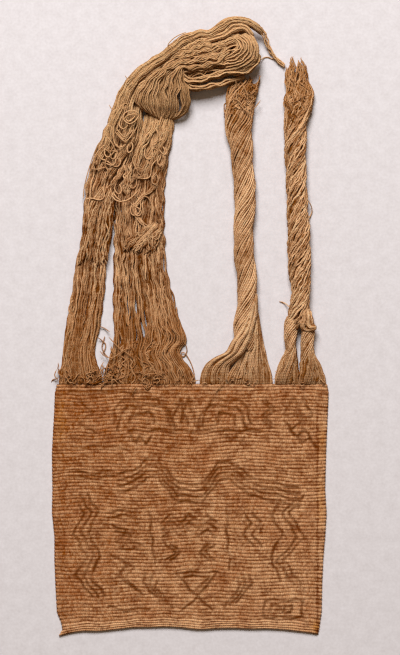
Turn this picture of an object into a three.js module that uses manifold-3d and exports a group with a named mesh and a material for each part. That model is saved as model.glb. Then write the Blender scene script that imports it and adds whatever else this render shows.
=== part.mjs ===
import * as THREE from "three";
import ManifoldModule from "manifold-3d";

// A cotton bag lying flat, with its unwoven warps left as a yarn strap.
// X runs to the right, Y to the strap, Z up from the surface it lies on.

// One step of the layout grid in mm; the tables below are in steps of it.
const GRID = 0.885;

// Cloth: two layers, one on the other, sewn at the sides and the bottom.
const CLOTH_THICKNESS = 1.2;
const LAYER_GAP = 0.3;
const CLOTH_COLUMNS = 14;
const CLOTH_ROW_STEP = 18;
const CORNER_SAG = 8;
const FRONT_RIPPLE = 0.7;

// Clearance between neighbouring bundles of yarn, in mm.
const CLEARANCE = 0.35;

// Yarn bundles: points over the rounded top, and spacing of the sections in grid steps.
const DOME_POINTS = 11;
const HANK_STEP = 17;
const ROPE_STEP = 9;
const SHOULDER = 0.22;
const FOOT_SHARE = 0.86;
const DOME_POWER = 0.7;

// Tie yarns: a thin group of yarns, in mm.
const TIE_WIDTH = 4.2;
const TIE_STEPS = 18;

const COLOURS = {
  cloth: 0x98623a,
  back: 0x8f5c36,
  hank: 0x906441,
  innerHank: 0x966a49,
  skein: 0x986e4a,
  lobe: 0x7f5939,
  innerRope: 0xb68962,
  outerRope: 0xa87b56,
  tie: 0x946842,
};

// Edges of the cloth from the mouth (first row) to the bottom.
const CLOTH_ROWS = [
  { y: -57, left: -133, right: 137 },
  { y: -65, left: -135, right: 138.5 },
  { y: -89, left: -136, right: 137.5 },
  { y: -125, left: -138, right: 136 },
  { y: -161, left: -137.5, right: 135 },
  { y: -185, left: -138, right: 136.5 },
  { y: -209, left: -135.5, right: 135 },
  { y: -233, left: -135.5, right: 133 },
  { y: -257, left: -134.5, right: 132 },
  { y: -281, left: -133, right: 131.5 },
  { y: -301, left: -127.5, right: 126 },
];

// Left outer hank: side to side limits and height in mm, from the mouth up.
const HANK_OUTER = [
  { y: -56.5, left: -132.5, right: -87.8, height: 4 },
  { y: -42, left: -130, right: -90, height: 4.6 },
  { y: -22, left: -127, right: -95.5, height: 5.4 },
  { y: 3, left: -124, right: -91, height: 6 },
  { y: 36, left: -118, right: -87, height: 6.4 },
  { y: 67, left: -113, right: -83, height: 6.8 },
  { y: 90, left: -108.5, right: -79.5, height: 7.2 },
  { y: 125, left: -106, right: -76.6, height: 8 },
  { y: 142, left: -105, right: -71.6, height: 8.4 },
  { y: 162, left: -99, right: -62, height: 9 },
  { y: 182, left: -92, right: -56.8, height: 9.6 },
  { y: 206, left: -82, right: -49.5, height: 11 },
  { y: 227, left: -75, right: -46, height: 12.5 },
  { y: 238, left: -70, right: -44, height: 13.2 },
  { y: 252, left: -59, right: -39, height: 14 },
];

// Left inner hank, fanned at its foot and pinched above it.
const HANK_INNER = [
  { y: -56.5, left: -87, right: 5, height: 4 },
  { y: -38, left: -83, right: -1, height: 4.4 },
  { y: -22, left: -79.5, right: -9, height: 5.4 },
  { y: -11, left: -78.5, right: -4.5, height: 6.2 },
  { y: -1, left: -78, right: -7, height: 6 },
  { y: 19, left: -77, right: -14, height: 5.6 },
  { y: 41, left: -76.5, right: -20, height: 6 },
  { y: 61, left: -76, right: -25, height: 6.4 },
  { y: 90, left: -75.5, right: -26, height: 6.8 },
  { y: 125, left: -75.8, right: -26.5, height: 7.2 },
  { y: 142, left: -70.8, right: -27, height: 7.4 },
  { y: 162, left: -61.2, right: -22, height: 7.6 },
  { y: 182, left: -56, right: -19, height: 7.6 },
  { y: 205, left: -48.8, right: -17, height: 7.2 },
  { y: 214, left: -43, right: -17, height: 6.6 },
];

// Drooping lobe: it rests over the end of the inner hank, so its lower rows have a raised base.
const LOBE = [
  { y: 207, left: -41, right: -13, base: 8, height: 12.6 },
  { y: 211, left: -43, right: -8, base: 7.8, height: 14.4 },
  { y: 214.3, left: -43.6, right: -6, base: 7.6, height: 15.2 },
  { y: 214.9, left: -43.8, right: -5.6, base: 0, height: 15.4 },
  { y: 222, left: -44.3, right: -2.5, base: 0, height: 16 },
  { y: 232, left: -43.4, right: -1.5, base: 0, height: 16.5 },
  { y: 242, left: -41.2, right: -3, base: 0, height: 16.5 },
  { y: 252, left: -37.8, right: -6, base: 0, height: 16 },
];

// Strap skein: limits across (low and high in Y) from its left end to its right end.
const SKEIN = [
  { x: -57, low: 252.6, high: 255, height: 9 },
  { x: -52, low: 252.6, high: 259.5, height: 12 },
  { x: -45, low: 252.6, high: 264, height: 14 },
  { x: -34, low: 252.6, high: 270, height: 15.5 },
  { x: -22, low: 252.6, high: 281, height: 17 },
  { x: -10, low: 252.6, high: 290, height: 18 },
  { x: -3.5, low: 252.6, high: 292.5, height: 18.5 },
  { x: 0.5, low: 237, high: 293.5, height: 18.5 },
  { x: 9, low: 236, high: 296, height: 18.5 },
  { x: 19, low: 237, high: 296.5, height: 19 },
  { x: 28, low: 238, high: 304, height: 20.5 },
  { x: 41, low: 245, high: 309, height: 22 },
  { x: 51, low: 251, high: 309.6, height: 21.5 },
  { x: 58, low: 256, high: 307.5, height: 20 },
  { x: 63, low: 260, high: 305, height: 18 },
  { x: 67, low: 265, high: 299, height: 15 },
  { x: 69, low: 271, high: 285, height: 10 },
];

// Inner rope: the fan it starts from, and the twisted rope.
const ROPE_INNER_FOOT = [
  { y: -56.5, left: 8, right: 82.5, height: 4 },
  { y: -49, left: 9.5, right: 82, height: 5 },
  { y: -42, left: 12, right: 79.5, height: 6.4 },
  { y: -35, left: 16, right: 77, height: 7.4 },
  { y: -30, left: 24, right: 75.5, height: 8 },
  { y: -25, left: 33, right: 74, height: 8.8 },
  { y: -17, left: 38, right: 71.5, height: 10 },
  { y: -9, left: 40.5, right: 69.5, height: 11.4 },
  { y: -4, left: 41.2, right: 68.6, height: 12.2 },
];
const ROPE_INNER = [
  { y: -3.5, left: 41.4, right: 68.5, height: 12.4 },
  { y: 10, left: 45, right: 66.5, height: 13 },
  { y: 27, left: 47, right: 67, height: 13.2 },
  { y: 45, left: 47, right: 67, height: 13.2 },
  { y: 65, left: 44, right: 65.5, height: 13.2 },
  { y: 91, left: 43, right: 63, height: 13 },
  { y: 130, left: 44, right: 66, height: 13 },
  { y: 155, left: 42, right: 64, height: 13 },
  { y: 176, left: 40, right: 63, height: 12.6 },
  { y: 201, left: 34, right: 62, height: 11.6 },
  { y: 222, left: 34, right: 64, height: 10.4 },
  { y: 235, left: 36, right: 67, height: 9 },
  { y: 251, left: 46, right: 66, height: 6.5 },
];

// Outer rope: two legs with a slit between them, then one rope with a brush end.
const ROPE_OUTER_LEG_LEFT = [
  { y: -56.5, left: 84, right: 106.5, height: 4 },
  { y: -50, left: 84.5, right: 107, height: 5 },
  { y: -37, left: 88, right: 107, height: 7.6 },
  { y: -25, left: 94.5, right: 106, height: 9.4 },
  { y: -18, left: 95, right: 106, height: 10 },
  { y: -9, left: 93.5, right: 106.5, height: 11 },
  { y: 0.4, left: 93.8, right: 108, height: 11.8 },
];
const ROPE_OUTER_LEG_RIGHT = [
  { y: -56.5, left: 108, right: 135, height: 4 },
  { y: -51, left: 108, right: 133.5, height: 5 },
  { y: -38, left: 109, right: 130, height: 7.6 },
  { y: -28, left: 110, right: 125, height: 9.4 },
  { y: -18, left: 110, right: 124, height: 10 },
  { y: -9, left: 109.5, right: 124.5, height: 11 },
  { y: 0.4, left: 109, right: 124.6, height: 11.8 },
];
const ROPE_OUTER = [
  { y: 0.9, left: 94, right: 124.6, height: 12 },
  { y: 12, left: 97, right: 120.5, height: 12.8 },
  { y: 21, left: 100, right: 120, height: 13 },
  { y: 36, left: 101, right: 120, height: 13 },
  { y: 61, left: 97.5, right: 121, height: 13.2 },
  { y: 91, left: 97, right: 120, height: 13.2 },
  { y: 125, left: 96, right: 117.5, height: 13 },
  { y: 155, left: 95, right: 116, height: 13 },
  { y: 176, left: 94, right: 116, height: 13 },
  { y: 201, left: 93.5, right: 117.5, height: 12.6 },
  { y: 222, left: 94, right: 122, height: 11.6 },
  { y: 234, left: 95, right: 124, height: 10.2 },
  { y: 243, left: 95, right: 118, height: 8.6 },
  { y: 254, left: 95.5, right: 112, height: 6.4 },
  { y: 265, left: 98, right: 111, height: 4.6 },
];

// Middle line of the tie yarns; height is the middle of the group above the surface in mm.
const TIE = [
  { x: 70, y: 298, height: 9 },
  { x: 74, y: 291, height: 6.6 },
  { x: 77.5, y: 281, height: 4.2 },
  { x: 82, y: 273, height: 2.8 },
  { x: 88, y: 266.5, height: 2.3 },
  { x: 95.4, y: 260.2, height: 2.3 },
];

// The row of a table at a place between its rows.
function rowAt(rows, key, place) {
  const rising = rows[rows.length - 1][key] > rows[0][key];
  const at = rows.findIndex((row) => (rising ? row[key] >= place : row[key] <= place));
  if (at <= 0) {
    return at === 0 ? rows[0] : rows[rows.length - 1];
  }
  const from = rows[at - 1];
  const to = rows[at];
  const share = (place - from[key]) / (to[key] - from[key]);
  const mixed = {};
  for (const name of Object.keys(from)) {
    mixed[name] = THREE.MathUtils.lerp(from[name], to[name], share);
  }
  return mixed;
}

// The table's own rows with others between them, no further apart than the step.
function spread(rows, key, step) {
  const places = [rows[0]];
  for (let i = 1; i < rows.length; i += 1) {
    const span = rows[i][key] - rows[i - 1][key];
    const parts = Math.max(1, Math.ceil(Math.abs(span) / step));
    for (let k = 1; k <= parts; k += 1) {
      places.push(rowAt(rows, key, rows[i - 1][key] + (span * k) / parts));
    }
  }
  return places;
}

// The faces that join rings of equal point count, one ring to the next.
function sideFaces(rings) {
  const count = rings[0].length;
  const index = [];
  for (let r = 0; r + 1 < rings.length; r += 1) {
    for (let k = 0; k < count; k += 1) {
      const a = r * count + k;
      const b = r * count + ((k + 1) % count);
      index.push(a, b, a + count, b, b + count, a + count);
    }
  }
  return index;
}

// A closed solid through rings, with a fan at each end.
function loft(rings) {
  const count = rings[0].length;
  const points = rings.flat();
  const index = sideFaces(rings);
  for (const end of [0, rings.length - 1]) {
    const middle = new THREE.Vector3();
    for (const point of rings[end]) {
      middle.addScaledVector(point, 1 / count);
    }
    points.push(middle);
    for (let k = 0; k < count; k += 1) {
      const a = end * count + k;
      const b = end * count + ((k + 1) % count);
      index.push(...(end === 0 ? [b, a, points.length - 1] : [a, b, points.length - 1]));
    }
  }
  const geometry = new THREE.BufferGeometry().setFromPoints(points);
  geometry.setIndex(index);
  return geometry;
}

// A closed sheet through thin rings, its ends closed by strips between the two faces.
function loftSheet(rings) {
  const count = rings[0].length;
  const points = rings.flat();
  const index = sideFaces(rings);
  for (const end of [0, rings.length - 1]) {
    for (let k = 0; k + 1 < count / 2; k += 1) {
      const a = end * count + k;
      const b = end * count + k + 1;
      const c = end * count + count - 2 - k;
      const d = end * count + count - 1 - k;
      index.push(...(end === 0 ? [a, c, b, a, d, c] : [a, b, c, a, c, d]));
    }
  }
  const geometry = new THREE.BufferGeometry().setFromPoints(points);
  geometry.setIndex(index);
  return geometry;
}

// One section of a bundle that lies on a surface: flat below, rounded and ridged above.
function lyingSection(from, to, base, top, locks, ridge, phase) {
  const middle = (from + to) / 2;
  const half = (to - from) / 2;
  const rise = top - base;
  const section = [];
  for (let k = 0; k <= DOME_POINTS; k += 1) {
    const share = k / DOME_POINTS;
    const arch = Math.sin(Math.PI * share) ** DOME_POWER;
    const wave = 1 + ridge * arch * Math.cos(2 * Math.PI * locks * share + phase);
    const across = middle - Math.cos(Math.PI * share) * half;
    section.push([across, base + rise * (SHOULDER + (1 - SHOULDER) * arch) * wave]);
  }
  section.push([middle + half * FOOT_SHARE, base]);
  section.push([middle - half * FOOT_SHARE, base]);
  return section;
}

// A bundle cut across Y, row by row. Locks are its ridges; turn moves them sideways along it.
function bundleAlongY(rows, step, { locks, ridge, turn }) {
  const rings = spread(rows, "y", step).map((row) => {
    const base = row.base ?? 0;
    const section = lyingSection(
      row.left * GRID, row.right * GRID, base, row.height, locks, ridge, turn * row.y * GRID,
    );
    return section.map(([x, z]) => new THREE.Vector3(x, row.y * GRID, z));
  });
  return loft(rings);
}

// A bundle cut across X, row by row.
function bundleAlongX(rows, step, { locks, ridge, turn }) {
  const rings = spread(rows, "x", step).map((row) => {
    const section = lyingSection(
      row.low * GRID, row.high * GRID, 0, row.height, locks, ridge, turn * row.x * GRID,
    );
    return section.map(([y, z]) => new THREE.Vector3(row.x * GRID, y, z)).reverse();
  });
  return loft(rings);
}

// A sheet of cloth with the bag's outline; lift gives the height of its underside.
function clothSheet(lift) {
  const rows = spread(CLOTH_ROWS, "y", CLOTH_ROW_STEP);
  const first = CLOTH_ROWS[0].y;
  const last = CLOTH_ROWS[CLOTH_ROWS.length - 1].y;
  const rings = rows.map((row) => {
    const down = (row.y - first) / (last - first);
    const below = [];
    const above = [];
    for (let c = 0; c <= CLOTH_COLUMNS; c += 1) {
      const share = c / CLOTH_COLUMNS;
      const x = THREE.MathUtils.lerp(row.left, row.right, share) * GRID;
      const sag = CORNER_SAG * down ** 6 * Math.abs(2 * share - 1) ** 5;
      const y = (row.y - sag) * GRID;
      const z = lift(share, down);
      below.push(new THREE.Vector3(x, y, z));
      above.unshift(new THREE.Vector3(x, y, z + CLOTH_THICKNESS));
    }
    return below.concat(above);
  });
  return loftSheet(rings);
}

// The front layer ripples a little over the back layer and lies close to it at the edges.
function frontLift(share, down) {
  const inside = Math.sin(Math.PI * share) * Math.sin(Math.PI * Math.min(1, 0.05 + 0.9 * down));
  const wave = 1 + Math.sin(7 * share + 4 * down) * Math.cos(9 * down - 3 * share);
  return CLOTH_THICKNESS + LAYER_GAP + FRONT_RIPPLE * inside * wave;
}

// A flattened tube along the middle line of the tie yarns.
function tieGeometry() {
  const points = TIE.map((row) => new THREE.Vector3(row.x * GRID, row.y * GRID, row.height));
  const path = new THREE.CatmullRomCurve3(points);
  const outline = new THREE.Shape();
  outline.absellipse(0, 0, TIE_WIDTH / 2, TIE_WIDTH / 2, 0, 2 * Math.PI);
  return new THREE.ExtrudeGeometry(outline, {
    steps: TIE_STEPS,
    curveSegments: 5,
    extrudePath: path,
  });
}

const manifold = await ManifoldModule();
manifold.setup();

function toSolid(geometry) {
  const vertProperties = new Float32Array(geometry.attributes.position.array);
  const triVerts = new Uint32Array(geometry.index.array);
  return new manifold.Manifold(new manifold.Mesh({ numProp: 3, vertProperties, triVerts }));
}

function toGeometry(solid) {
  const mesh = solid.getMesh();
  const geometry = new THREE.BufferGeometry();
  geometry.setAttribute("position", new THREE.BufferAttribute(mesh.vertProperties, 3));
  geometry.setIndex(new THREE.BufferAttribute(mesh.triVerts, 1));
  return geometry;
}

// The skein lies over the frayed end of the inner rope, so room for that end is taken from below.
function skeinGeometry() {
  const room = ROPE_INNER.slice(-4).map((row) => ({
    y: row.y,
    left: row.left - CLEARANCE / GRID,
    right: row.right + CLEARANCE / GRID,
    base: -1,
    height: row.height + 3 * CLEARANCE,
  }));
  const last = room[room.length - 1];
  room.push({ ...last, y: last.y + (2 * CLEARANCE) / GRID });
  const skein = toSolid(bundleAlongX(SKEIN, HANK_STEP, { locks: 4, ridge: 0.06, turn: 0.02 }));
  const taken = toSolid(bundleAlongY(room, ROPE_STEP, { locks: 2, ridge: 0, turn: 0 }));
  return toGeometry(skein.subtract(taken));
}

function piece(name, geometry, color) {
  geometry.computeVertexNormals();
  const material = new THREE.MeshStandardMaterial({ color, roughness: 0.9, metalness: 0 });
  const mesh = new THREE.Mesh(geometry, material);
  mesh.name = name;
  return mesh;
}

const hankForm = { locks: 4, ridge: 0.09, turn: 0.012 };
const ropeForm = { locks: 2, ridge: 0.1, turn: 0.075 };
const footForm = { locks: 3, ridge: 0.08, turn: 0.05 };
const legForm = { locks: 1.5, ridge: 0.1, turn: 0.11 };

const bag = new THREE.Group();
bag.name = "woven_bag";
bag.add(
  piece("back_panel", clothSheet(() => 0), COLOURS.back),
  piece("front_panel", clothSheet(frontLift), COLOURS.cloth),
  piece("hank_outer", bundleAlongY(HANK_OUTER, HANK_STEP, hankForm), COLOURS.hank),
  piece("hank_inner", bundleAlongY(HANK_INNER, HANK_STEP, hankForm), COLOURS.innerHank),
  piece("strap_skein", skeinGeometry(), COLOURS.skein),
  piece("skein_lobe", bundleAlongY(LOBE, HANK_STEP, hankForm), COLOURS.lobe),
  piece("rope_inner_foot", bundleAlongY(ROPE_INNER_FOOT, ROPE_STEP, footForm), COLOURS.innerRope),
  piece("rope_inner", bundleAlongY(ROPE_INNER, ROPE_STEP, ropeForm), COLOURS.innerRope),
  piece("rope_outer_leg_left", bundleAlongY(ROPE_OUTER_LEG_LEFT, ROPE_STEP, legForm), COLOURS.outerRope),
  piece("rope_outer_leg_right", bundleAlongY(ROPE_OUTER_LEG_RIGHT, ROPE_STEP, legForm), COLOURS.outerRope),
  piece("rope_outer", bundleAlongY(ROPE_OUTER, ROPE_STEP, ropeForm), COLOURS.outerRope),
  piece("tie_yarns", tieGeometry(), COLOURS.tie),
);

export default bag;
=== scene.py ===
# %% [markdown]
# A ribbed cotton bag lies flat, and its warps run on past the cloth as a strap of loose yarn.
# Everything soft here is yarn, so the lesson is mostly about one idea: a bundle of yarn is a
# table of a few rows, and a formula lays dozens of thin tubes through those rows.
# The imported solids come first, because they fix the size and place of every bundle.

# %% Load the frame
from functools import partial

import bmesh
import bpy
import numpy as np
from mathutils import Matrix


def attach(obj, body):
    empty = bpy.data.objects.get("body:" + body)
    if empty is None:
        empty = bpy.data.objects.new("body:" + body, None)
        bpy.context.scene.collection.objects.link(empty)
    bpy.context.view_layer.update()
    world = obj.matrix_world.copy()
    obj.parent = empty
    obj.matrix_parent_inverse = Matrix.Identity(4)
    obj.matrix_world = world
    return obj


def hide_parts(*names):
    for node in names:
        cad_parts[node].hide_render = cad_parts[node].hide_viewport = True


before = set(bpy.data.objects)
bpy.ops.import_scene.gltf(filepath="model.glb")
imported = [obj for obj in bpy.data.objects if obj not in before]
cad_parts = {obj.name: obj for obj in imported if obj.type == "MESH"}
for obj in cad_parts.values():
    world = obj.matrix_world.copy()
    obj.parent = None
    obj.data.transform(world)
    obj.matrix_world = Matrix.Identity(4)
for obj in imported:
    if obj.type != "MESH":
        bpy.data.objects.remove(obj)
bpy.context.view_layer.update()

# %% [markdown]
# The bag was laid out on a sheet of squared paper, 400 steps across and 655 steps down, and the
# tables below count in those steps from the sheet's top left corner. One function turns a place
# on the sheet, with a height in millimetres, into the frame's metres. A maker could work in
# metres all along, but short numbers on a sheet are easier to read and to move by hand.

# %% The layout sheet
STEP = 0.000885
MM = 0.001
SHEET_ACROSS = 400
SHEET_DOWN = 655
ORIGIN_ACROSS = 190.0
ORIGIN_DOWN = 327.0
UP = np.array([0.0, 0.0, 1.0])


def place(across, down, height):
    """A place on the sheet, with its height in millimetres, in metres."""
    across, down, height = np.broadcast_arrays(across, down, height)
    east = (across - ORIGIN_ACROSS) * STEP
    north = (ORIGIN_DOWN - down) * STEP
    return np.stack([east, north, height * MM], axis=-1).astype(float)


print("sheet corner:", place(0, 0, 0))

# %% [markdown]
# The camera looks straight down from four metres, as on a copy stand. A long lens keeps the
# sheet's edges parallel, and its length follows from the sheet: the sensor's long side sees
# exactly the 655 steps. A narrow pixel filter keeps the yarns crisp, since each is barely more
# than one step wide.

# %% Camera
CAMERA_HEIGHT = 4.0
SENSOR = 36.0
PIXEL_FILTER = 1.25

camera_data = bpy.data.cameras.new("copy_camera")
camera_data.sensor_width = SENSOR
camera_data.lens = SENSOR * CAMERA_HEIGHT / (SHEET_DOWN * STEP)
camera = bpy.data.objects.new("copy_camera", camera_data)
camera.location = place(SHEET_ACROSS / 2, SHEET_DOWN / 2, CAMERA_HEIGHT / MM)
bpy.context.scene.collection.objects.link(camera)
bpy.context.scene.camera = camera
bpy.context.scene.view_settings.view_transform = "Standard"
bpy.context.scene.cycles.filter_width = PIXEL_FILTER
print("lens:", round(camera_data.lens, 1), "mm")

# %% [markdown]
# The light comes from the strap's side, half way up, through one wide soft box, so each yarn has
# a bright upper edge and a soft shadow below it. A dim, warm room fills the shadows only a little,
# because the dark gaps between yarns are what shows their roundness.

# %% Room and light
ROOM_COLOUR = (1.0, 0.76, 0.52, 1.0)
ROOM_LIGHT = 0.14
KEY_COLOUR = (0.965, 0.97, 1.0)
KEY_PLACE = (-0.3, 2.5, 2.4)
KEY_SIZE = 1.6
KEY_POWER = 153.0

room = bpy.data.worlds.new("pale_room")
room.use_nodes = True
background = room.node_tree.nodes["Background"]
background.inputs["Color"].default_value = ROOM_COLOUR
background.inputs["Strength"].default_value = ROOM_LIGHT
bpy.context.scene.world = room

key_data = bpy.data.lights.new("key_box", "AREA")
key_data.size = KEY_SIZE
key_data.energy = KEY_POWER
key_data.color = KEY_COLOUR
key = bpy.data.objects.new("key_box", key_data)
key.location = KEY_PLACE
key.rotation_euler = (-key.location).to_track_quat("-Z", "Y").to_euler()
bpy.context.scene.collection.objects.link(key)
print("light:", key.name, KEY_POWER, "W")

# %% [markdown]
# Every finish is a few shader nodes. In the editor they are joined by hand. Here one helper makes
# a node and links or sets its inputs, and small helpers round it make the nodes used most often
# and give back the socket that comes out, so that a finish reads like a sum.

# %% Node helpers
def add_node(tree, kind, inputs=None, **settings):
    """A node with its settings made, and each input linked or given a value."""
    made = tree.nodes.new(kind)
    for name, value in settings.items():
        setattr(made, name, value)
    for name, value in (inputs or {}).items():
        feed(tree, made.inputs[name], value)
    return made


def feed(tree, socket, value):
    """Links a socket to an output, or gives it a plain value."""
    if isinstance(value, bpy.types.NodeSocket):
        tree.links.new(value, socket)
    else:
        socket.default_value = value


def calculate(tree, operation, first, second=0.0, third=0.0, clamp=False):
    """One step of arithmetic."""
    inputs = {0: first, 1: second, 2: third}
    return add_node(tree, "ShaderNodeMath", inputs, operation=operation, use_clamp=clamp).outputs[0]


def add_up(tree, terms, start=0.0):
    """The sum of each weight times its value."""
    for weight, value in terms:
        start = calculate(tree, "MULTIPLY_ADD", value, weight, start)
    return start


def noise(tree, spot, scale, detail=2.0):
    """A noise value from 0 to 1."""
    inputs = {"Vector": spot, "Scale": scale, "Detail": detail}
    return add_node(tree, "ShaderNodeTexNoise", inputs).outputs["Fac"]


def remap(tree, value, low, high, to_low=0.0, to_high=1.0):
    """A value stretched from one range to another and kept in it."""
    inputs = {0: value, 1: low, 2: high, 3: to_low, 4: to_high}
    return add_node(tree, "ShaderNodeMapRange", inputs).outputs[0]


def mix_colours(tree, factor, first, second):
    """The two colours mixed."""
    mixed = add_node(tree, "ShaderNodeMix", {"Factor": factor}, data_type="RGBA")
    for slot_name, colour in (("A", first), ("B", second)):
        socket = [s for s in mixed.inputs if s.name == slot_name and s.type == "RGBA"][0]
        feed(tree, socket, colour)
    return [s for s in mixed.outputs if s.type == "RGBA"][0]


def tools(tree):
    """The five helpers above, bound to one tree."""
    return [partial(helper, tree) for helper in (calculate, add_up, noise, remap, mix_colours)]


def attribute(tree, name):
    """The mesh's own value of this name."""
    return add_node(tree, "ShaderNodeAttribute", attribute_name=name).outputs["Fac"]


def object_spot(tree):
    """The place on the object."""
    return add_node(tree, "ShaderNodeTexCoord").outputs["Object"]


def parts(tree, vector):
    """The parts of a vector."""
    return add_node(tree, "ShaderNodeSeparateXYZ", {"Vector": vector}).outputs


def uv_parts(tree):
    """The parts of the piece's own UV map."""
    return parts(tree, add_node(tree, "ShaderNodeUVMap", uv_map="UVMap").outputs["UV"])


def paint(red, green, blue):
    """A colour picked on a 0 to 255 scale, as the linear values that nodes take."""
    shares = np.array([red, green, blue]) / 255.0
    linear = np.where(shares <= 0.04045, shares / 12.92, ((shares + 0.055) / 1.055) ** 2.4)
    return (*linear.tolist(), 1.0)


def new_material(name):
    """An empty material with a Principled shader, and its tree."""
    material = bpy.data.materials.new(name)
    material.use_nodes = True
    tree = material.node_tree
    return material, tree, tree.nodes["Principled BSDF"]


print("mid grey:", paint(128, 128, 128))

# %% [markdown]
# The floor is plain paper: very pale, faintly pink and faintly mottled. Two noises add up to its
# pulp, a wide one for the blotches and a fine one for the fibres.

# %% Paper floor
FLOOR_HALF = 4.0
BLOTCHES = 110.0
FIBRES = 420.0
PAPER_DARK = paint(223, 216, 215)
PAPER_LIGHT = paint(242, 236, 236)
PAPER_ROUGHNESS = 0.95
PAPER_GLOSS = 0.2

floor_mesh = bpy.data.meshes.new("paper_floor")
shape = bmesh.new()
bmesh.ops.create_grid(shape, x_segments=1, y_segments=1, size=FLOOR_HALF)
shape.to_mesh(floor_mesh)
shape.free()

paper, tree, shader = new_material("pale_paper")
_, total, grain, ranged, blend = tools(tree)
spot = object_spot(tree)
pulp = total([(0.5, grain(spot, BLOTCHES, 3.0)), (0.5, grain(spot, FIBRES))])
tint = blend(ranged(pulp, 0.25, 0.75), PAPER_DARK, PAPER_LIGHT)
tree.links.new(tint, shader.inputs["Base Color"])
shader.inputs["Roughness"].default_value = PAPER_ROUGHNESS
shader.inputs["Specular IOR Level"].default_value = PAPER_GLOSS
floor_mesh.materials.append(paper)
floor = bpy.data.objects.new("paper_floor", floor_mesh)
bpy.context.scene.collection.objects.link(floor)
print("stage:", floor.name)

# %% [markdown]
# A table of rows becomes a smooth run by a Catmull-Rom curve, which passes through every row.
# `along` walks that curve at even lengths, so yarns get evenly spaced points even where the rows
# are not. `drift` gives each yarn slow bends of its own, and `crimp` adds the short waves that
# a yarn keeps from the cloth it was woven in. Yarns that are given one phase wave together.

# %% Curves through a table
TURN = 2 * np.pi
POINTS_TO_A_ROW = 16
OWN_SPREAD = 0.15
SHARED_SPREAD = 0.012
SWELL = 0.35
SWELL_RATE = 0.31
LIFT_RATE = 0.83
LIFT_LAG = 0.3


def through(rows, at):
    """The smooth curve through a table's rows, at row numbers of any shape."""
    rows = np.asarray(rows, dtype=float)
    last = len(rows) - 1
    start = np.clip(np.floor(at).astype(int), 0, last - 1)
    t = (at - start)[..., None]
    before = rows[np.maximum(start - 1, 0)]
    here = rows[start]
    there = rows[start + 1]
    after = rows[np.minimum(start + 2, last)]
    cubic = 3 * (here - there) + after - before
    square = 2 * before - 5 * here + 4 * there - after
    return here + 0.5 * t * (there - before + t * (square + t * cubic))


def along(rows, middle, shares):
    """Rows at shares of the length of the middle line, and that length."""
    fine = np.linspace(0, len(rows) - 1, POINTS_TO_A_ROW * len(rows))
    points = middle(through(rows, fine))
    gone = np.cumsum(np.linalg.norm(np.diff(points, axis=0), axis=1))
    gone = np.concatenate([[0.0], gone])
    return through(rows, np.interp(shares * gone[-1], gone, fine)), gone[-1]


def drift(rng, shares, waves):
    """Slow bends of about one unit, a line for each yarn."""
    total = np.zeros_like(shares)
    for wave in waves:
        size = rng.normal(0, 1, (len(shares), 1))
        total += size * np.sin(TURN * (wave * shares + rng.random((len(shares), 1))))
    return total / np.sqrt(len(waves))


def ways(paths):
    """The direction along each path, and the level direction to its right."""
    ahead = np.gradient(paths, axis=1)
    ahead /= np.maximum(np.linalg.norm(ahead, axis=2, keepdims=True), 1e-9)
    right = np.cross(ahead, UP)
    right /= np.maximum(np.linalg.norm(right, axis=2, keepdims=True), 1e-6)
    return ahead, right


def lengths(paths):
    """Length gone at each point of each path."""
    gone = np.cumsum(np.linalg.norm(np.diff(paths, axis=1), axis=2), axis=1)
    return np.concatenate([np.zeros((len(paths), 1)), gone], axis=1)


def crimp(paths, rng, size, wave, phase=None, rise=0.45):
    """Short waves along each path, size and wave in mm; phase, in turns, makes them agree."""
    count = len(paths)
    spread = OWN_SPREAD if phase is None else SHARED_SPREAD
    stretch = rng.uniform(1 - spread, 1 + spread, (count, 1))
    phase = rng.random(count) if phase is None else phase
    gone = lengths(paths) / (wave * MM * stretch)
    swell = 1 - SWELL + SWELL * np.sin(TURN * (SWELL_RATE * gone + rng.random((count, 1))))
    sway = size * swell * np.sin(TURN * (gone + phase[:, None]))
    lift = rise * size * swell * np.sin(TURN * (LIFT_RATE * gone + phase[:, None] + LIFT_LAG))
    right = ways(paths)[1]
    return paths + MM * (right * sway[..., None] + UP * lift[..., None])


print("curve through two rows:", through([[0, 0], [1, 2]], np.array([0.5])))

# %% [markdown]
# One yarn is a thin closed tube. Skinning a curve in Blender would work for a few of them, but a
# thousand curve objects are slow, so each bundle is one mesh made from arrays: a ring of points
# round each point of each path, quads between the rings and a cap on each end. The rings taper at
# the tips. A UV map runs round and along the yarn for its plies, and each yarn has its own tone.

# %% Tubes round many paths
YARN = 0.78
SIDES = 5
TIP_LENGTH = 2.5
TIP_SHARE = 0.4
PLY_LENGTH = 2.6
FLOOR_GAP = 0.02


def bundle(paths, tone, radius=YARN, sides=SIDES):
    """Yarns for a piece: paths, radius in mm, sides of a tube, and each yarn's tone from 0 to 1."""
    return paths, radius, sides, np.clip(tone, 0, 1)


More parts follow.
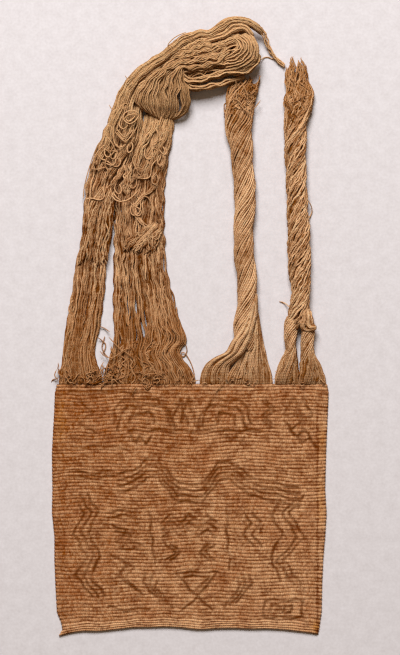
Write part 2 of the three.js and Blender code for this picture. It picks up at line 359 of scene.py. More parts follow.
def tubes(paths, radius, sides, tone):
    """Arrays for one closed tube round each path: points, tones, face corners, sizes and UVs."""
    count, steps = paths.shape[:2]
    ahead, right = ways(paths)
    above = np.cross(right, ahead)
    gone = lengths(paths)
    from_end = np.minimum(gone, gone[:, -1:] - gone)
    taper = np.clip(TIP_SHARE + (1 - TIP_SHARE) * from_end / (TIP_LENGTH * MM), TIP_SHARE, 1.0)
    thick = radius * MM * taper
    turn = TURN * np.arange(sides) / sides
    ring = right[:, :, None] * np.cos(turn)[:, None] + above[:, :, None] * np.sin(turn)[:, None]
    points = paths[:, :, None] + thick[:, :, None, None] * ring

    number = np.arange(count * steps * sides).reshape(count, steps, sides)
    round_next = np.roll(number, -1, axis=2)
    quads = [number[:, :-1], number[:, 1:], round_next[:, 1:], round_next[:, :-1]]
    quads = np.stack(quads, axis=-1).reshape(-1, 4)
    caps = np.concatenate([number[:, 0], number[:, -1, ::-1]])

    u = np.broadcast_to(np.arange(sides) / sides, number.shape)
    v = np.broadcast_to((gone / (PLY_LENGTH * MM))[:, :, None], number.shape)
    u_next = u + 1.0 / sides
    across = np.stack([u[:, :-1], u[:, 1:], u_next[:, 1:], u_next[:, :-1]], axis=-1)
    down = np.stack([v[:, :-1], v[:, 1:], v[:, 1:], v[:, :-1]], axis=-1)
    quad_uv = np.stack([across, down], axis=-1).reshape(-1, 2)
    cap_uv = np.zeros((caps.size, 2))
    tones = np.repeat(tone, steps * sides)
    corners = [quads.ravel(), caps.ravel()]
    sizes = [np.full(len(quads), 4), np.full(len(caps), sides)]
    return points.reshape(-1, 3), tones, corners, sizes, [quad_uv, cap_uv]


def fill_mesh(name, points, corners, sizes, uv):
    """A smooth mesh from arrays of points, face corners, face sizes and a UV for each corner."""
    mesh = bpy.data.meshes.new(name)
    mesh.vertices.add(len(points))
    mesh.vertices.foreach_set("co", points.ravel())
    mesh.loops.add(len(corners))
    mesh.loops.foreach_set("vertex_index", corners.astype(np.int32))
    mesh.polygons.add(len(sizes))
    mesh.polygons.foreach_set("loop_start", (np.cumsum(sizes) - sizes).astype(np.int32))
    mesh.update(calc_edges=True)
    mesh.shade_smooth()
    layer = mesh.uv_layers.new(name="UVMap")
    layer.data.foreach_set("uv", uv.ravel().astype(np.float32))
    return mesh


def set_field(mesh, name, values):
    """A value for each point of a mesh, for its material to read."""
    layer = mesh.attributes.new(name, "FLOAT", "POINT")
    layer.data.foreach_set("value", values.ravel().astype(np.float32))


def add_piece(name, mesh, finish):
    """A new object of the scene with this mesh and material."""
    mesh.materials.append(finish)
    piece = bpy.data.objects.new(name, mesh)
    bpy.context.scene.collection.objects.link(piece)
    return piece


def above_floor(paths, radius):
    """The paths, lifted where they would sink into the floor."""
    paths[..., 2] = np.maximum(paths[..., 2], (radius + FLOOR_GAP) * MM)
    return paths


def yarn_piece(name, finish, bundles):
    """One mesh object of many yarns."""
    points, tones, corners, sizes, uvs = [], [], [], [], []
    first = 0
    for paths, radius, sides, tone in bundles:
        made = tubes(above_floor(paths, radius), radius, sides, tone)
        points.append(made[0])
        tones.append(made[1])
        corners.extend(part + first for part in made[2])
        sizes.extend(made[3])
        uvs.extend(made[4])
        first += len(made[0])
    sizes = np.concatenate(sizes)
    mesh = fill_mesh(name, np.concatenate(points), np.concatenate(corners), sizes, np.concatenate(uvs))
    set_field(mesh, "tone", np.concatenate(tones))
    print(name, "yarns:", sum(len(b[0]) for b in bundles), "triangles:", int(np.sum(sizes - 2)))
    return add_piece(name, mesh, finish)


print("yarn:", 2 * YARN, "mm thick")

# %% [markdown]
# The yarn's finish is a shader group, because the brown hanks and the tan ropes both use it. Each
# yarn's own tone picks between a dark and a light colour, and noise mottles that along the yarn.
# The sides of each yarn are painted in the dark colour as painted shade, so that its top reads as
# lit from above. Two plies wind round it as a fine helix that is also the bump height, and the
# groove between them is painted dark as painted shade. The root colour comes in towards the bag's
# mouth, and the tip colour towards the strap's top.

# %% The spun yarn group
COLOUR = "NodeSocketColor"
VALUE = "NodeSocketFloat"
FINE_GRAIN = 230.0
WIDE_GRAIN = 34.0
END_FADE = 20.0
END_SHARE = 0.45
PLIES = 2.0


def new_group(name, inputs):
    """A shader group that puts out a colour and a height, with its given sockets and those two."""
    group = bpy.data.node_groups.new(name, "ShaderNodeTree")
    for socket_name, kind in inputs:
        group.interface.new_socket(socket_name, in_out="INPUT", socket_type=kind)
    for socket_name, kind in (("Colour", COLOUR), ("Height", VALUE)):
        group.interface.new_socket(socket_name, in_out="OUTPUT", socket_type=kind)
    given = group.nodes.new("NodeGroupInput").outputs
    return group, given, group.nodes.new("NodeGroupOutput").inputs


yarn_inputs = [("Dark", COLOUR), ("Light", COLOUR), ("Root", COLOUR), ("Root End", VALUE),
               ("Tip", COLOUR), ("Tip Start", VALUE), ("Ply Depth", VALUE)]
yarn_group, given, out = new_group("Spun yarn", yarn_inputs)
calc, total, grain, ranged, blend = tools(yarn_group)
spot = object_spot(yarn_group)
uneven = total([(1.3, grain(spot, FINE_GRAIN, 3.0)), (0.91, grain(spot, WIDE_GRAIN))], -1.1)
lightness = calc("ADD", attribute(yarn_group, "tone"), uneven, clamp=True)
spun = blend(lightness, given["Dark"], given["Light"])

north = parts(yarn_group, spot)["Y"]
to_root = calc("SUBTRACT", given["Root End"], north)
to_tip = calc("SUBTRACT", north, given["Tip Start"])
for end, distance in (("Root", to_root), ("Tip", to_tip)):
    near = calc("MULTIPLY", distance, END_FADE, clamp=True)
    spun = blend(calc("MULTIPLY", near, END_SHARE), spun, given[end])

uv = uv_parts(yarn_group)
# Painted shade: the sides of each yarn are mixed towards the dark colour, and its top stays light.
upward = calc("SINE", calc("MULTIPLY", uv["X"], TURN))
spun = blend(ranged(upward, 0.1, 0.95, 0.65, 0.0), spun, given["Dark"])
helix = total([(PLIES, uv["X"])], uv["Y"])
ply = total([(0.5, calc("SINE", calc("MULTIPLY", helix, TURN)))], 0.5)
# Painted shade: the groove between the plies is mixed towards the dark colour.
groove = calc("MULTIPLY", calc("SUBTRACT", 1.0, ply), given["Ply Depth"])
spun = blend(groove, spun, given["Dark"])
yarn_group.links.new(spun, out["Colour"])
yarn_group.links.new(ply, out["Height"])
print("group:", yarn_group.name)

# %% [markdown]
# Cotton is matt, and light passes a little way into it, which softens the dark sides of a yarn.
# Those values are the same all over, so they are set on the shader itself, and only the colour and
# the bump come from the group. The two yarn finishes differ in their colours and in how far north
# the root and tip colours reach.

# %% Cotton finishes
COTTON = {
    "Roughness": 0.92,
    "Specular IOR Level": 0.03,
    "Subsurface Weight": 0.4,
    "Subsurface Radius": (1.0, 1.0, 1.0),
    "Subsurface Scale": 0.7 * MM,
}
BUMP_STRENGTH = 0.6
PLY_DEPTH = 0.2
PLY_BUMP = 0.2
ROOTS_NORTH = 0.05
SKEIN_NORTH = 0.13
FEET_NORTH = -0.005
BRUSH_NORTH = 0.16


def cotton(name, group_tree, values, bump_depth):
    """A cotton material from a group; values are for its inputs in order, bump_depth is in mm."""
    material, tree, shader = new_material(name)
    group = add_node(tree, "ShaderNodeGroup", node_tree=group_tree)
    for socket, value in zip(group.inputs, values):
        socket.default_value = value
    relief = {"Height": group.outputs["Height"], "Strength": BUMP_STRENGTH, "Distance": bump_depth * MM}
    bump = add_node(tree, "ShaderNodeBump", relief)
    tree.links.new(group.outputs["Colour"], shader.inputs["Base Color"])
    tree.links.new(bump.outputs["Normal"], shader.inputs["Normal"])
    for socket_name, value in COTTON.items():
        shader.inputs[socket_name].default_value = value
    return material


brown_values = [paint(112, 58, 8), paint(238, 188, 138), paint(156, 93, 36), ROOTS_NORTH,
                paint(236, 191, 136), SKEIN_NORTH, PLY_DEPTH]
tan_values = [paint(132, 74, 14), paint(246, 199, 150), paint(140, 84, 32), FEET_NORTH,
              paint(160, 104, 48), BRUSH_NORTH, PLY_DEPTH]
brown_yarn = cotton("brown_yarn", yarn_group, brown_values, PLY_BUMP)
tan_yarn = cotton("tan_yarn", yarn_group, tan_values, PLY_BUMP)
print("finishes:", brown_yarn.name, tan_yarn.name)

# %% [markdown]
# The strap is made of bundles. A sheaf is an untwisted one: a table of left and right edges with
# the height of its underside and its top, where a yarn keeps its share of the way across. Yarns
# lie side by side in layers, a light layer on top and a darker one in its furrows, whose darker
# tone is painted shade, and gather into locks. Dark yarns make a bed below, painted shade that
# keeps most of the floor from showing through. A slit is a place where the yarns stand apart.

# %% Lying sheaves
JITTER = 0.14
TONE_SPREAD = 0.26
LOCK_TONE_SPREAD = 0.07
# The second and deeper layers and the bed get darker tones as painted shade.
TOP_TONE = 0.68
FURROW_SHADE_TONE = 0.34
DEEP_LAYER = (0.7, 0.15)
BED_LAYERS = ((2, 0.6, 0.2), (1, 0.2, 0.1))
BED_YARN = 1.1 * YARN
BED_INSET = 0.06
BED_CUT = 0.04
ARCH_EDGE = 0.3
LEVEL_FOOT = 0.15
LOCK_DRIFT = 0.12
LOCK_ROUND = 0.3
GATHER = 0.34
PINCH_RATES = (1.2, 2.6)
LOCK_BENDS = (1.3, 2.6, 4.1)
YARN_BENDS = (1.5, 3.2, 6.1)
STRAY_ROAM = 3.5


def even_shares(rng, layers):
    """For layers of (count, level, tone): each yarn's share of the way, level and tone."""
    shares = []
    for number, (count, _, _) in enumerate(layers):
        shift = 0.5 + 0.5 * (number % 2)
        shares.append((np.arange(count) + shift + rng.uniform(-JITTER, JITTER, count)) / count)
    shares = np.clip(np.concatenate(shares), 0, 1)
    level = np.concatenate([np.full(count, lift) for count, lift, _ in layers])
    tone = np.concatenate([rng.normal(middle, TONE_SPREAD, count) for count, _, middle in layers])
    return shares[:, None], level[:, None], np.clip(tone, 0, 1)


def stack(top, second=0.86):
    """Layers: a light one on top, and one painted darker as painted shade in its furrows, at the second
    level.
    """
    return ((top, 1.0, TOP_TONE), (top, second, FURROW_SHADE_TONE))


def deep_stack(top):
    """The same with one dark layer more, painted shade for a bundle that is seen into."""
    return (*stack(top), (top, *DEEP_LAYER))


def cut_shares(rng, count, cut, steps):
    """Shares along each yarn, with its ends cut by up to the shares in cut."""
    begin = cut[0] * rng.random((count, 1))
    finish = 1 - cut[1] * rng.random((count, 1))
    return begin + (finish - begin) * np.linspace(0, 1, steps)


def sheaf_line(rows):
    """The middle of a sheaf's top, in metres."""
    return place((rows[..., 0] + rows[..., 2]) / 2, (rows[..., 1] + rows[..., 3]) / 2, rows[..., 5])


def arch(across):
    """The height of a sheaf's rounded top at shares across it, up to 1."""
    return ARCH_EDGE + (1 - ARCH_EDGE) * np.sqrt(np.clip(1 - (2 * across - 1) ** 2, 0, 1))


def open_slits(own, across, shares, slits):
    """Shares across, pushed apart round each slit: its share across, first and last, reach."""
    for centre, first, last, reach in slits:
        opening = reach * np.sin(np.pi * np.clip((shares - first) / (last - first), 0, 1))
        side = np.where(own < centre, -1, 1)
        apart = np.maximum(side * (across - centre), 0)
        pushed = centre + side * (apart + opening * np.exp(-apart / (3 * reach)))
        across = np.where(opening > 0, pushed, across)
    return across


def sheaf(rows, layers, seed, locks, steps, wander, cut, held=0.0, strays=0.0, slits=()):
    """Yarns laid between a table's edges; held is the share near the cloth that stays put."""
    rng = np.random.default_rng(seed)
    own, level, tone = even_shares(rng, layers)
    count = len(own)
    lock = np.minimum((own[:, 0] * locks).astype(int), locks - 1)
    inside = own * locks - lock[:, None]
    shares = cut_shares(rng, count, cut, steps)
    row = along(rows, sheaf_line, shares)[0]
    evenly = np.broadcast_to(np.linspace(0, 1, steps), (locks, steps)).copy()
    free = np.clip(shares / held, 0, 1) if held else 1.0
    roam = wander * np.where(rng.random((count, 1)) < strays, STRAY_ROAM, 1.0)
    across = own + free * LOCK_DRIFT / locks * drift(rng, evenly, LOCK_BENDS)[lock]
    rate = rng.uniform(*PINCH_RATES, (locks, 1))
    pinch = 0.5 + 0.5 * np.sin(TURN * (rate * evenly + rng.random((locks, 1))))
    gather = GATHER * (level == 1.0) if locks > 1 else 0.0
    across = across - free * gather * pinch[lock] * (own - (lock[:, None] + 0.5) / locks)
    across = across + free * roam * drift(rng, shares, YARN_BENDS)
    across = np.clip(open_slits(own, across, shares, slits), 0, 1)
    rounded = 1 - LOCK_ROUND * (2 * inside - 1) ** 2
    crown = arch(across) * rounded * (LEVEL_FOOT + (1 - LEVEL_FOOT) * level)
    head = np.maximum(row[..., 5] - row[..., 4] - 2 * YARN, 0.0)
    left = place(row[..., 0], row[..., 1], row[..., 4] + YARN + head * crown)
    right = place(row[..., 2], row[..., 3], row[..., 4] + YARN + head * crown)
    tone = np.clip(tone + rng.normal(0, LOCK_TONE_SPREAD, locks)[lock], 0, 1)
    return left + (right - left) * across[..., None], own[:, 0], tone, rng


def strip(rows, first, last):
    """The part of a sheaf's table between two shares of its width."""
    rows = np.asarray(rows, dtype=float)
    left, right = rows[:, 0:2], rows[:, 2:4]
    edges = [left + first * (right - left), left + last * (right - left)]
    return np.hstack([*edges, rows[:, 4:]]).tolist()


def bed(rows, count, seed, steps, slits=()):
    """Dark yarns low in a sheaf, painted shade that closes the view to the floor."""
    layers = [(times * count, level, tone) for times, level, tone in BED_LAYERS]
    inset = strip(rows, BED_INSET, 1 - BED_INSET)
    paths, _, tone, _ = sheaf(
        inset, layers, seed, locks=1, steps=steps, wander=0.0, cut=(0.0, BED_CUT), slits=slits)
    return bundle(paths, tone, BED_YARN)


print("layers for ten yarns:", stack(10))

# %% [markdown]
# Two groups of warps were twisted into loose ropes. A rope's table gives its middle line and its
# half width and half height, and each yarn winds round that line as a flattened helix. The yarns
# lie side by side in layers, and swell into a few locks with a furrow between them. Towards the
# upper end the twist opens, the yarns kink more, and each is cut at its own length.

# %% Twisted bundles
ROPE_LOCKS = 3
LOCK_FURROW = 0.16
REACH_DRIFT = 0.03
LOOSE_REACH = (-0.6, 0.1)
REACH_LIMIT = 1.02
TURN_BENDS = (2, 5, 9)
REACH_BENDS = (3, 7, 12)
OPEN_WIND = 0.5
THINNEST = 0.2 * MM
# The core's dark tone is painted shade inside the rope.
CORE_LAYER = ((9, 0.5, 0.1),)
CORE_YARN = 2.5 * YARN
CORE_SIDES = 6
CORE_CUT = (0.04, 0.12)


def rope_line(rows):
    """A rope's middle line, in metres."""
    return place(rows[..., 0], rows[..., 1], rows[..., 4])


def twisted(rows, layers, seed, pitch, steps, cut, slack=0.06, opens=1.0, held=0.0):
    """Yarns wound round a table's middle line from held to opens; pitch in mm a turn."""
    rng = np.random.default_rng(seed)
    around, reach, tone = even_shares(rng, layers)
    shares = cut_shares(rng, len(around), cut, steps)
    row, length = along(rows, rope_line, shares)
    inside = around * ROPE_LOCKS % 1.0
    wound = np.clip(shares, held, opens) + OPEN_WIND * np.maximum(shares - opens, 0)
    turn = TURN * (around - wound * length / (pitch * MM)) + slack * drift(rng, shares, TURN_BENDS)
    loose = np.clip((shares - opens) / max(1 - opens, 0.01), 0, 1)
    furrowed = reach * (1 - LOCK_FURROW * (2 * inside - 1) ** 2)
    reach = furrowed * (1 + REACH_DRIFT * drift(rng, shares, REACH_BENDS))
    reach = np.minimum(reach * (1 + loose * rng.uniform(*LOOSE_REACH, (len(around), 1))), REACH_LIMIT)
    middle = rope_line(row)
    right = ways(middle)[1]
    wide = np.maximum(row[..., 2] * STEP - YARN * MM, THINNEST) * reach * np.cos(turn)
    high = np.maximum(row[..., 3] * MM - YARN * MM, THINNEST) * reach * np.sin(turn)
    paths = middle + right * wide[..., None] + UP * high[..., None]
    return paths, tone, loose, rng


def rope_core(rows, seed, pitch, steps):
    """Thick dark yarns inside a rope, painted shade that closes the view through it."""
    paths, tone, _, _ = twisted(rows, CORE_LAYER, seed, pitch, steps, CORE_CUT)
    return bundle(paths, tone, CORE_YARN, CORE_SIDES)


print("core yarn:", 2 * CORE_YARN, "mm thick")

# %% [markdown]
# The inner rope is the tighter one, and its brush end goes below the skein. The outer rope's yarns
# kink in step and its brush is long. A rope piece also gives back the points of its middle line and
# its length.

# %% The two ropes
# Columns: across, down, half width in steps, half height in mm, height of the middle in mm.
ROPE_INNER = [
    (246.0, 352, 10.0, 3.6, 4.6),
    (245.5, 340, 12.0, 5.2, 5.8),
    (245.0, 328, 12.5, 6.0, 6.2),
    (246.8, 306, 10.5, 6.5, 6.6),
    (247.0, 282, 10.2, 6.6, 6.7),
    (244.8, 262, 10.8, 6.6, 6.7),
    (243.2, 236, 10.2, 6.5, 6.6),
    (245.0, 197, 11.2, 6.5, 6.6),
    (243.0, 172, 11.2, 6.5, 6.6),
    (241.5, 151, 11.8, 6.3, 6.4),
    (238.4, 126, 14.2, 6.0, 6.1),
    (239.8, 105, 15.6, 5.6, 5.8),
    (242.5, 92, 15.2, 5.0, 5.2),
    (246.5, 78, 12.0, 4.0, 4.2),
]
ROPE_OUTER = [
    (299.6, 331, 14.0, 5.6, 5.8),
    (299.6, 322, 14.2, 6.0, 6.2),
    (299.0, 312, 12.0, 6.4, 6.5),
    (300.0, 303, 10.2, 6.5, 6.6),
    (300.4, 291, 9.8, 6.5, 6.6),
    (299.2, 266, 11.9, 6.6, 6.7),
    (298.5, 236, 11.7, 6.6, 6.7),
    (297.0, 202, 11.0, 6.5, 6.6),
    (295.7, 172, 10.7, 6.5, 6.6),
    (295.0, 151, 11.2, 6.5, 6.6),
    (295.4, 126, 12.0, 6.3, 6.4),
    (298.2, 105, 14.2, 5.8, 6.0),
    (298.8, 94, 14.4, 5.0, 5.3),
    (296.4, 84, 11.5, 4.2, 4.4),
    (295.0, 70, 9.6, 3.2, 3.4),
    (296.5, 60, 8.0, 2.4, 2.6),
]
ROPE_YARN = 0.82
# The second layer's darker tone is painted shade.
ROPE_LAYERS = ((24, 1.0, 0.66), (24, 0.9, 0.46))
ROPE_STEPS = 104
KINK_WAVE = 9.0
KINK_TURNS = 6
KINK_LAG = 0.08
LINE_POINTS = 32


def rope_piece(name, rows, seed, pitch, cut, opens, slack, kink, shade):
    """A rope of yarns, with the points of its middle line and its length."""
    paths, tone, loose, rng = twisted(rows, ROPE_LAYERS, seed, pitch, ROPE_STEPS, cut, slack, opens)
    together = np.linspace(0, KINK_TURNS, len(paths)) + KINK_LAG * rng.random(len(paths))
    paths = crimp(paths, rng, kink, KINK_WAVE, together, rise=0.8)
    paths = crimp(paths, rng, size=0.08 + 0.4 * loose, wave=7.0)
    core = rope_core(rows, seed, pitch, steps=60)
    piece = yarn_piece(name, tan_yarn, [bundle(paths, tone - shade, ROPE_YARN), core])
    row = along(rows, rope_line, np.linspace(0.5 * cut[0], 1 - 0.3 * cut[1], LINE_POINTS))[0]
    line = rope_line(row)
    return piece, line, float(np.linalg.norm(np.diff(line, axis=0), axis=1).sum())


rope_inner, inner_line, inner_length = rope_piece(
    "rope_inner_yarns", ROPE_INNER, seed=31, pitch=84.0, cut=(0.05, 0.1), opens=0.84,
    slack=0.05, kink=0.05, shade=0.0)
rope_outer, outer_line, outer_length = rope_piece(
    "rope_outer_yarns", ROPE_OUTER, seed=47, pitch=78.0, cut=(0.03, 0.2), opens=0.76,
    slack=0.16, kink=0.54, shade=0.02)
print("rope lengths:", round(inner_length, 4), round(outer_length, 4))

# %% [markdown]
# A few yarns leave the skein at its right end and run down to the outer rope's brush, where they
# were once part of it. They come down to the floor half way and climb into the brush. They are a
# short loose cord, made as the ropes are but with only a few yarns.

# %% Tie yarns
# Columns as for the ropes.
TIE_YARNS = [
    (260.0, 29.0, 3.2, 1.9, 9.0),
    (264.5, 36.0, 3.0, 1.9, 6.6),
    (268.0, 46.0, 2.6, 1.9, 4.2),
    (272.5, 54.0, 2.4, 1.9, 2.8),
    (278.0, 60.5, 2.4, 1.8, 2.3),
    (285.4, 66.8, 2.6, 1.8, 2.3),
]
TIE_LAYERS = ((4, 1.0, 1.0), (2, 0.4, 0.8))
TIE_YARN = 0.6
TIE_POINTS = 18

paths, tone, _, rng = twisted(
    TIE_YARNS, TIE_LAYERS, seed=12, pitch=110.0, steps=40, cut=(0.0, 0.02), slack=0.6)
paths = crimp(paths, rng, size=0.45, wave=9.0)
tie = yarn_piece("tie_yarns_loose", brown_yarn, [bundle(paths, tone, TIE_YARN)])
tie_row, tie_length = along(TIE_YARNS, rope_line, np.linspace(0, 1, TIE_POINTS))
tie_line = rope_line(tie_row)
print("tie length:", round(tie_length, 4))

# %% [markdown]
# Two hanks of loose warps run from the cloth's edge to the skein. Each lock of a hank waves in its
# own time, so hollows open between locks. Shorter yarns fill the roots, where the hanks are widest,
# and the inner hank has slits low down, where it has worn thin.

# %% The two hanks
# Columns: left edge across and down, right edge across and down, underside and top in mm.
HANK_OUTER = [
    (58.0, 385.4, 103.0, 385.4, 1.1, 3.0),
    (60.0, 369, 98.0, 368, 0.0, 4.8),
    (63.0, 349, 94.0, 350, 0.0, 5.6),
    (66.0, 324, 99.0, 328, 0.0, 6.2),
    (72.0, 291, 103.5, 296, 0.0, 6.6),
    (77.0, 260, 106.5, 266, 0.0, 7.0),
    (81.5, 237, 111.0, 237, 0.0, 7.4),
    (84.0, 202, 113.8, 204, 0.0, 8.0),
    (86.0, 182, 119.5, 186, 0.0, 8.6),
    (92.0, 163, 128.5, 168, 0.0, 9.2),
    (99.0, 144, 135.5, 149, 0.0, 9.8),
    (108.0, 119, 142.0, 129, 0.0, 11.0),
    (115.0, 103, 142.0, 112, 0.0, 12.4),
    (121.0, 87, 146.0, 97, 0.0, 13.6),
    (135.0, 70, 156.0, 84, 0.0, 14.6),
    (154.0, 58, 169.0, 71, 0.0, 15.0),
    (170.0, 47, 184.0, 60, 0.0, 14.0),
]
HANK_INNER = [
    (104.0, 385.4, 195.0, 385.4, 1.1, 3.0),
    (105.5, 376, 193.5, 376, 0.2, 4.4),
    (107.0, 367, 188.0, 367, 0.0, 4.8),
    (108.5, 360, 182.0, 359, 0.0, 5.2),
    (109.5, 354, 178.5, 353, 0.0, 5.6),
    (110.0, 349, 181.0, 347.5, 0.0, 5.8),
    (110.5, 344, 185.0, 342.5, 0.0, 6.0),
    (111.5, 336, 185.0, 335, 0.0, 6.2),
    (112.5, 322, 179.5, 322, 0.0, 6.0),
    (113.0, 306, 176.0, 307, 0.0, 5.8),
    (113.5, 286, 170.0, 286, 0.0, 6.2),
    (114.0, 266, 165.5, 266, 0.0, 6.6),
    (115.0, 237, 164.5, 237, 0.0, 7.0),
    (114.5, 204, 164.0, 204, 0.0, 7.4),
    (119.0, 185, 164.0, 183, 0.0, 7.6),
    (128.5, 166, 166.5, 165, 0.0, 7.8),
    (135.0, 148, 170.5, 148, 0.0, 7.8),
    (141.0, 128, 173.0, 128, 0.0, 7.4),
    (146.0, 112, 173.5, 112, 0.0, 6.8),
]
# Columns: share across, first and last share along, reach.
SLITS = [
    (0.17, 0.16, 0.28, 0.024),
    (0.24, 0.22, 0.36, 0.022),
    (0.31, 0.15, 0.26, 0.024),
    (0.36, 0.25, 0.34, 0.02),
    (0.42, 0.17, 0.26, 0.022),
    (0.49, 0.2, 0.3, 0.024),
]
OUTER_YARNS = 16
INNER_YARNS = 28
ROOT_YARNS = 9
WHOLE_CUT = (0.0, 0.02)
ROOT_CUT = (0.0, 0.6)
HANK_HELD = 0.08
HANK_STRAYS = 0.1
HANK_WAVE = 17.0
HANK_TILT = 1.1
LOCK_LAG = 0.16
YARN_LAG = 0.06
LOCK_SWAY = (0.7, 1.15)


def waved(rows, layers, seed, locks, steps, wander, cut, sway, slits=()):
    """A hank's loose yarns: each lock waves in its own time, and yarns crimp one by one."""
    paths, own, tone, rng = sheaf(
        rows, layers, seed, locks, steps, wander, cut, HANK_HELD, HANK_STRAYS, slits)
    lock = np.minimum((own * locks).astype(int), locks - 1)
    phase = HANK_TILT * own + LOCK_LAG * rng.random(locks)[lock] + YARN_LAG * rng.random(len(own))
    strength = sway * rng.uniform(*LOCK_SWAY, locks)[lock][:, None]
    settled = np.clip(np.linspace(0.1, 1.6, steps), 0, 1) * np.linspace(1.15, 0.7, steps)
    paths = crimp(paths, rng, strength * settled, HANK_WAVE, phase, rise=0.8)
    return bundle(crimp(paths, rng, size=0.28, wave=12.0), tone)


outer_bundles = [
    waved(HANK_OUTER, deep_stack(OUTER_YARNS), seed=5, locks=4, steps=132, wander=0.032,
          cut=WHOLE_CUT, sway=0.9),
    waved(HANK_OUTER[:5], stack(ROOT_YARNS), seed=6, locks=5, steps=34, wander=0.03,
          cut=ROOT_CUT, sway=0.5),
    bed(HANK_OUTER, 8, seed=15, steps=44),
]
inner_bundles = [
    waved(HANK_INNER, deep_stack(INNER_YARNS), seed=8, locks=6, steps=124, wander=0.022,
          cut=WHOLE_CUT, sway=1.3, slits=SLITS),
    waved(HANK_INNER[:8], stack(2 * ROOT_YARNS), seed=9, locks=8, steps=34, wander=0.02,
          cut=ROOT_CUT, sway=0.6),
    bed(HANK_INNER, 14, seed=18, steps=44, slits=SLITS),
]
hank_outer = yarn_piece("hank_outer_yarns", brown_yarn, outer_bundles)
hank_inner = yarn_piece("hank_inner_yarns", brown_yarn, inner_bundles)

# %% [markdown]
# Locks of yarn lie over the hanks. Small ones hang down from the skein, a fold of yarn ends half
# way down the outer hank, another lies folded on the inner hank, and the inner hank's right edge
# is a light lock that keeps its waves from the cloth. They are sheaves too, on higher tables.

# %% Locks over the hanks
# Columns: across, down, half width in steps, top in mm.
HANK_LOCKS = [
    [(133, 137, 3.5, 11.8), (126, 148, 4, 11.2), (120, 158, 4.5, 10.6), (114, 167, 4.5, 10.2),
     (108, 178, 4, 9.4), (103, 190, 4, 6.6)],
    [(157, 120, 4.5, 8.6), (152, 130, 4.5, 9.0), (145, 140, 4.5, 9.4), (139.5, 152, 4, 9.4),
     (136.5, 164, 3.5, 9.0), (134, 176, 3, 6.4)],
    [(166, 128, 3.5, 8.0), (162, 140, 4, 8.6), (156, 151, 4.5, 9.0), (150, 162, 4.5, 9.0),
     (146, 174, 4, 8.6), (146, 186, 3.5, 6.2)],
    [(124, 166, 2.5, 9.8), (119, 175, 3, 10.0), (112, 186, 3, 9.6), (105, 195, 2.5, 6.8)],
    [(128, 164, 3.5, 9.6), (127.5, 175, 4, 9.8), (127, 186, 4, 9.2), (126, 197, 3.5, 6.4)],
    [(157, 184, 2, 8.4), (149, 192, 2.5, 8.8), (140, 200, 2.5, 9.0), (134.5, 208, 2.5, 8.8),
     (136, 216, 2.5, 8.6), (143, 224, 2.5, 8.4), (151, 229, 2, 6.8)],
    [(122, 104, 4, 14.4), (117, 114, 4, 13.4), (113, 124, 4, 12.4), (109, 136, 4, 11.6),
     (104, 148, 4, 10.8), (98, 160, 4, 10.0), (94, 174, 3.5, 7.2)],
]
# Columns as for the hanks.
OUTER_FOLD = [
    (100.0, 186, 118.0, 190, 7.0, 9.6),
    (90.0, 203, 114.0, 206, 6.8, 9.8),
    (84.5, 222, 112.0, 225, 6.4, 9.4),
    (81.0, 242, 109.5, 245, 6.0, 8.8),
    (77.5, 257, 107.5, 260, 5.4, 8.0),
    (76.5, 266, 107.0, 269, 3.6, 6.0),
]
FOLDED_LOCK = [
    (152.0, 222, 163.0, 224, 5.0, 7.6),
    (144.0, 228, 162.0, 231, 5.6, 8.6),
    (134.0, 234, 160.0, 238, 6.0, 9.0),
    (126.0, 241, 157.0, 245, 5.6, 9.0),
    (122.0, 248, 154.0, 251, 5.0, 8.6),
    (122.0, 253, 152.0, 256, 3.0, 6.4),
]
LOCK_DEPTH = 2.4
LOCK_SPACING = 2.0
EDGE_RISE = 0.9
EDGE_STEPS = 84
FOLD_YARNS = 15


def over_lock(rows, count, seed, locks, steps, wander, cut, shared, own_crimp, shade=0.0, held=0.0):
    """A lock on a hank; shared is its common wave's size, length, tilt and rise, if it has one."""
    paths, own, tone, rng = sheaf(rows, stack(count), seed, locks, steps, wander, cut, held)
    if shared:
        size, wave, tilt, rise = shared
        paths = crimp(paths, rng, size, wave, tilt * own, rise)
    return bundle(crimp(paths, rng, *own_crimp), tone - shade)


over_bundles = []
for number, rows in enumerate(HANK_LOCKS):
    edges = [(x - half, y, x + half, y, top - LOCK_DEPTH, top) for x, y, half, top in rows]
    count = round(2 * max(half for _, _, half, _ in rows) / LOCK_SPACING)
    over_bundles.append(over_lock(
        edges, count, seed=80 + number, locks=1, steps=34, wander=0.08, cut=(0.1, 0.14),
        shared=(0.4, 15.0, 0.4, 0.6), own_crimp=(0.12, 9.0)))
over_bundles.append(over_lock(
    OUTER_FOLD, FOLD_YARNS, seed=76, locks=2, steps=50, wander=0.03, cut=(0.05, 0.12),
    shared=(0.14, 15.0, 0.8, 0.6), own_crimp=(0.14, 11.0), shade=0.06))
over_bundles.append(over_lock(
    FOLDED_LOCK, FOLD_YARNS, seed=79, locks=3, steps=30, wander=0.03, cut=(0.1, 0.22),
    shared=None, own_crimp=(0.16, 12.0), shade=0.26))
edge_rows = [(*row[:5], row[5] + EDGE_RISE) for row in strip(HANK_INNER[:11], 0.56, 1.0)]
edge_wave = (np.linspace(0.7, 0.5, EDGE_STEPS), 16.0, 0.35, 0.8)
over_bundles.append(over_lock(
    edge_rows, FOLD_YARNS, seed=77, locks=3, steps=EDGE_STEPS, wander=0.012, cut=(0.0, 0.3),
    shared=edge_wave, own_crimp=(0.1, 11.0), shade=-0.12, held=0.1))
hank_locks = yarn_piece("hank_locks", brown_yarn, over_bundles)

# %% [markdown]
# Below the inner rope its warps spread into a foot. The left half swings over as one lock and
# tucks behind the rope, and the right half fans straight down to the cloth.

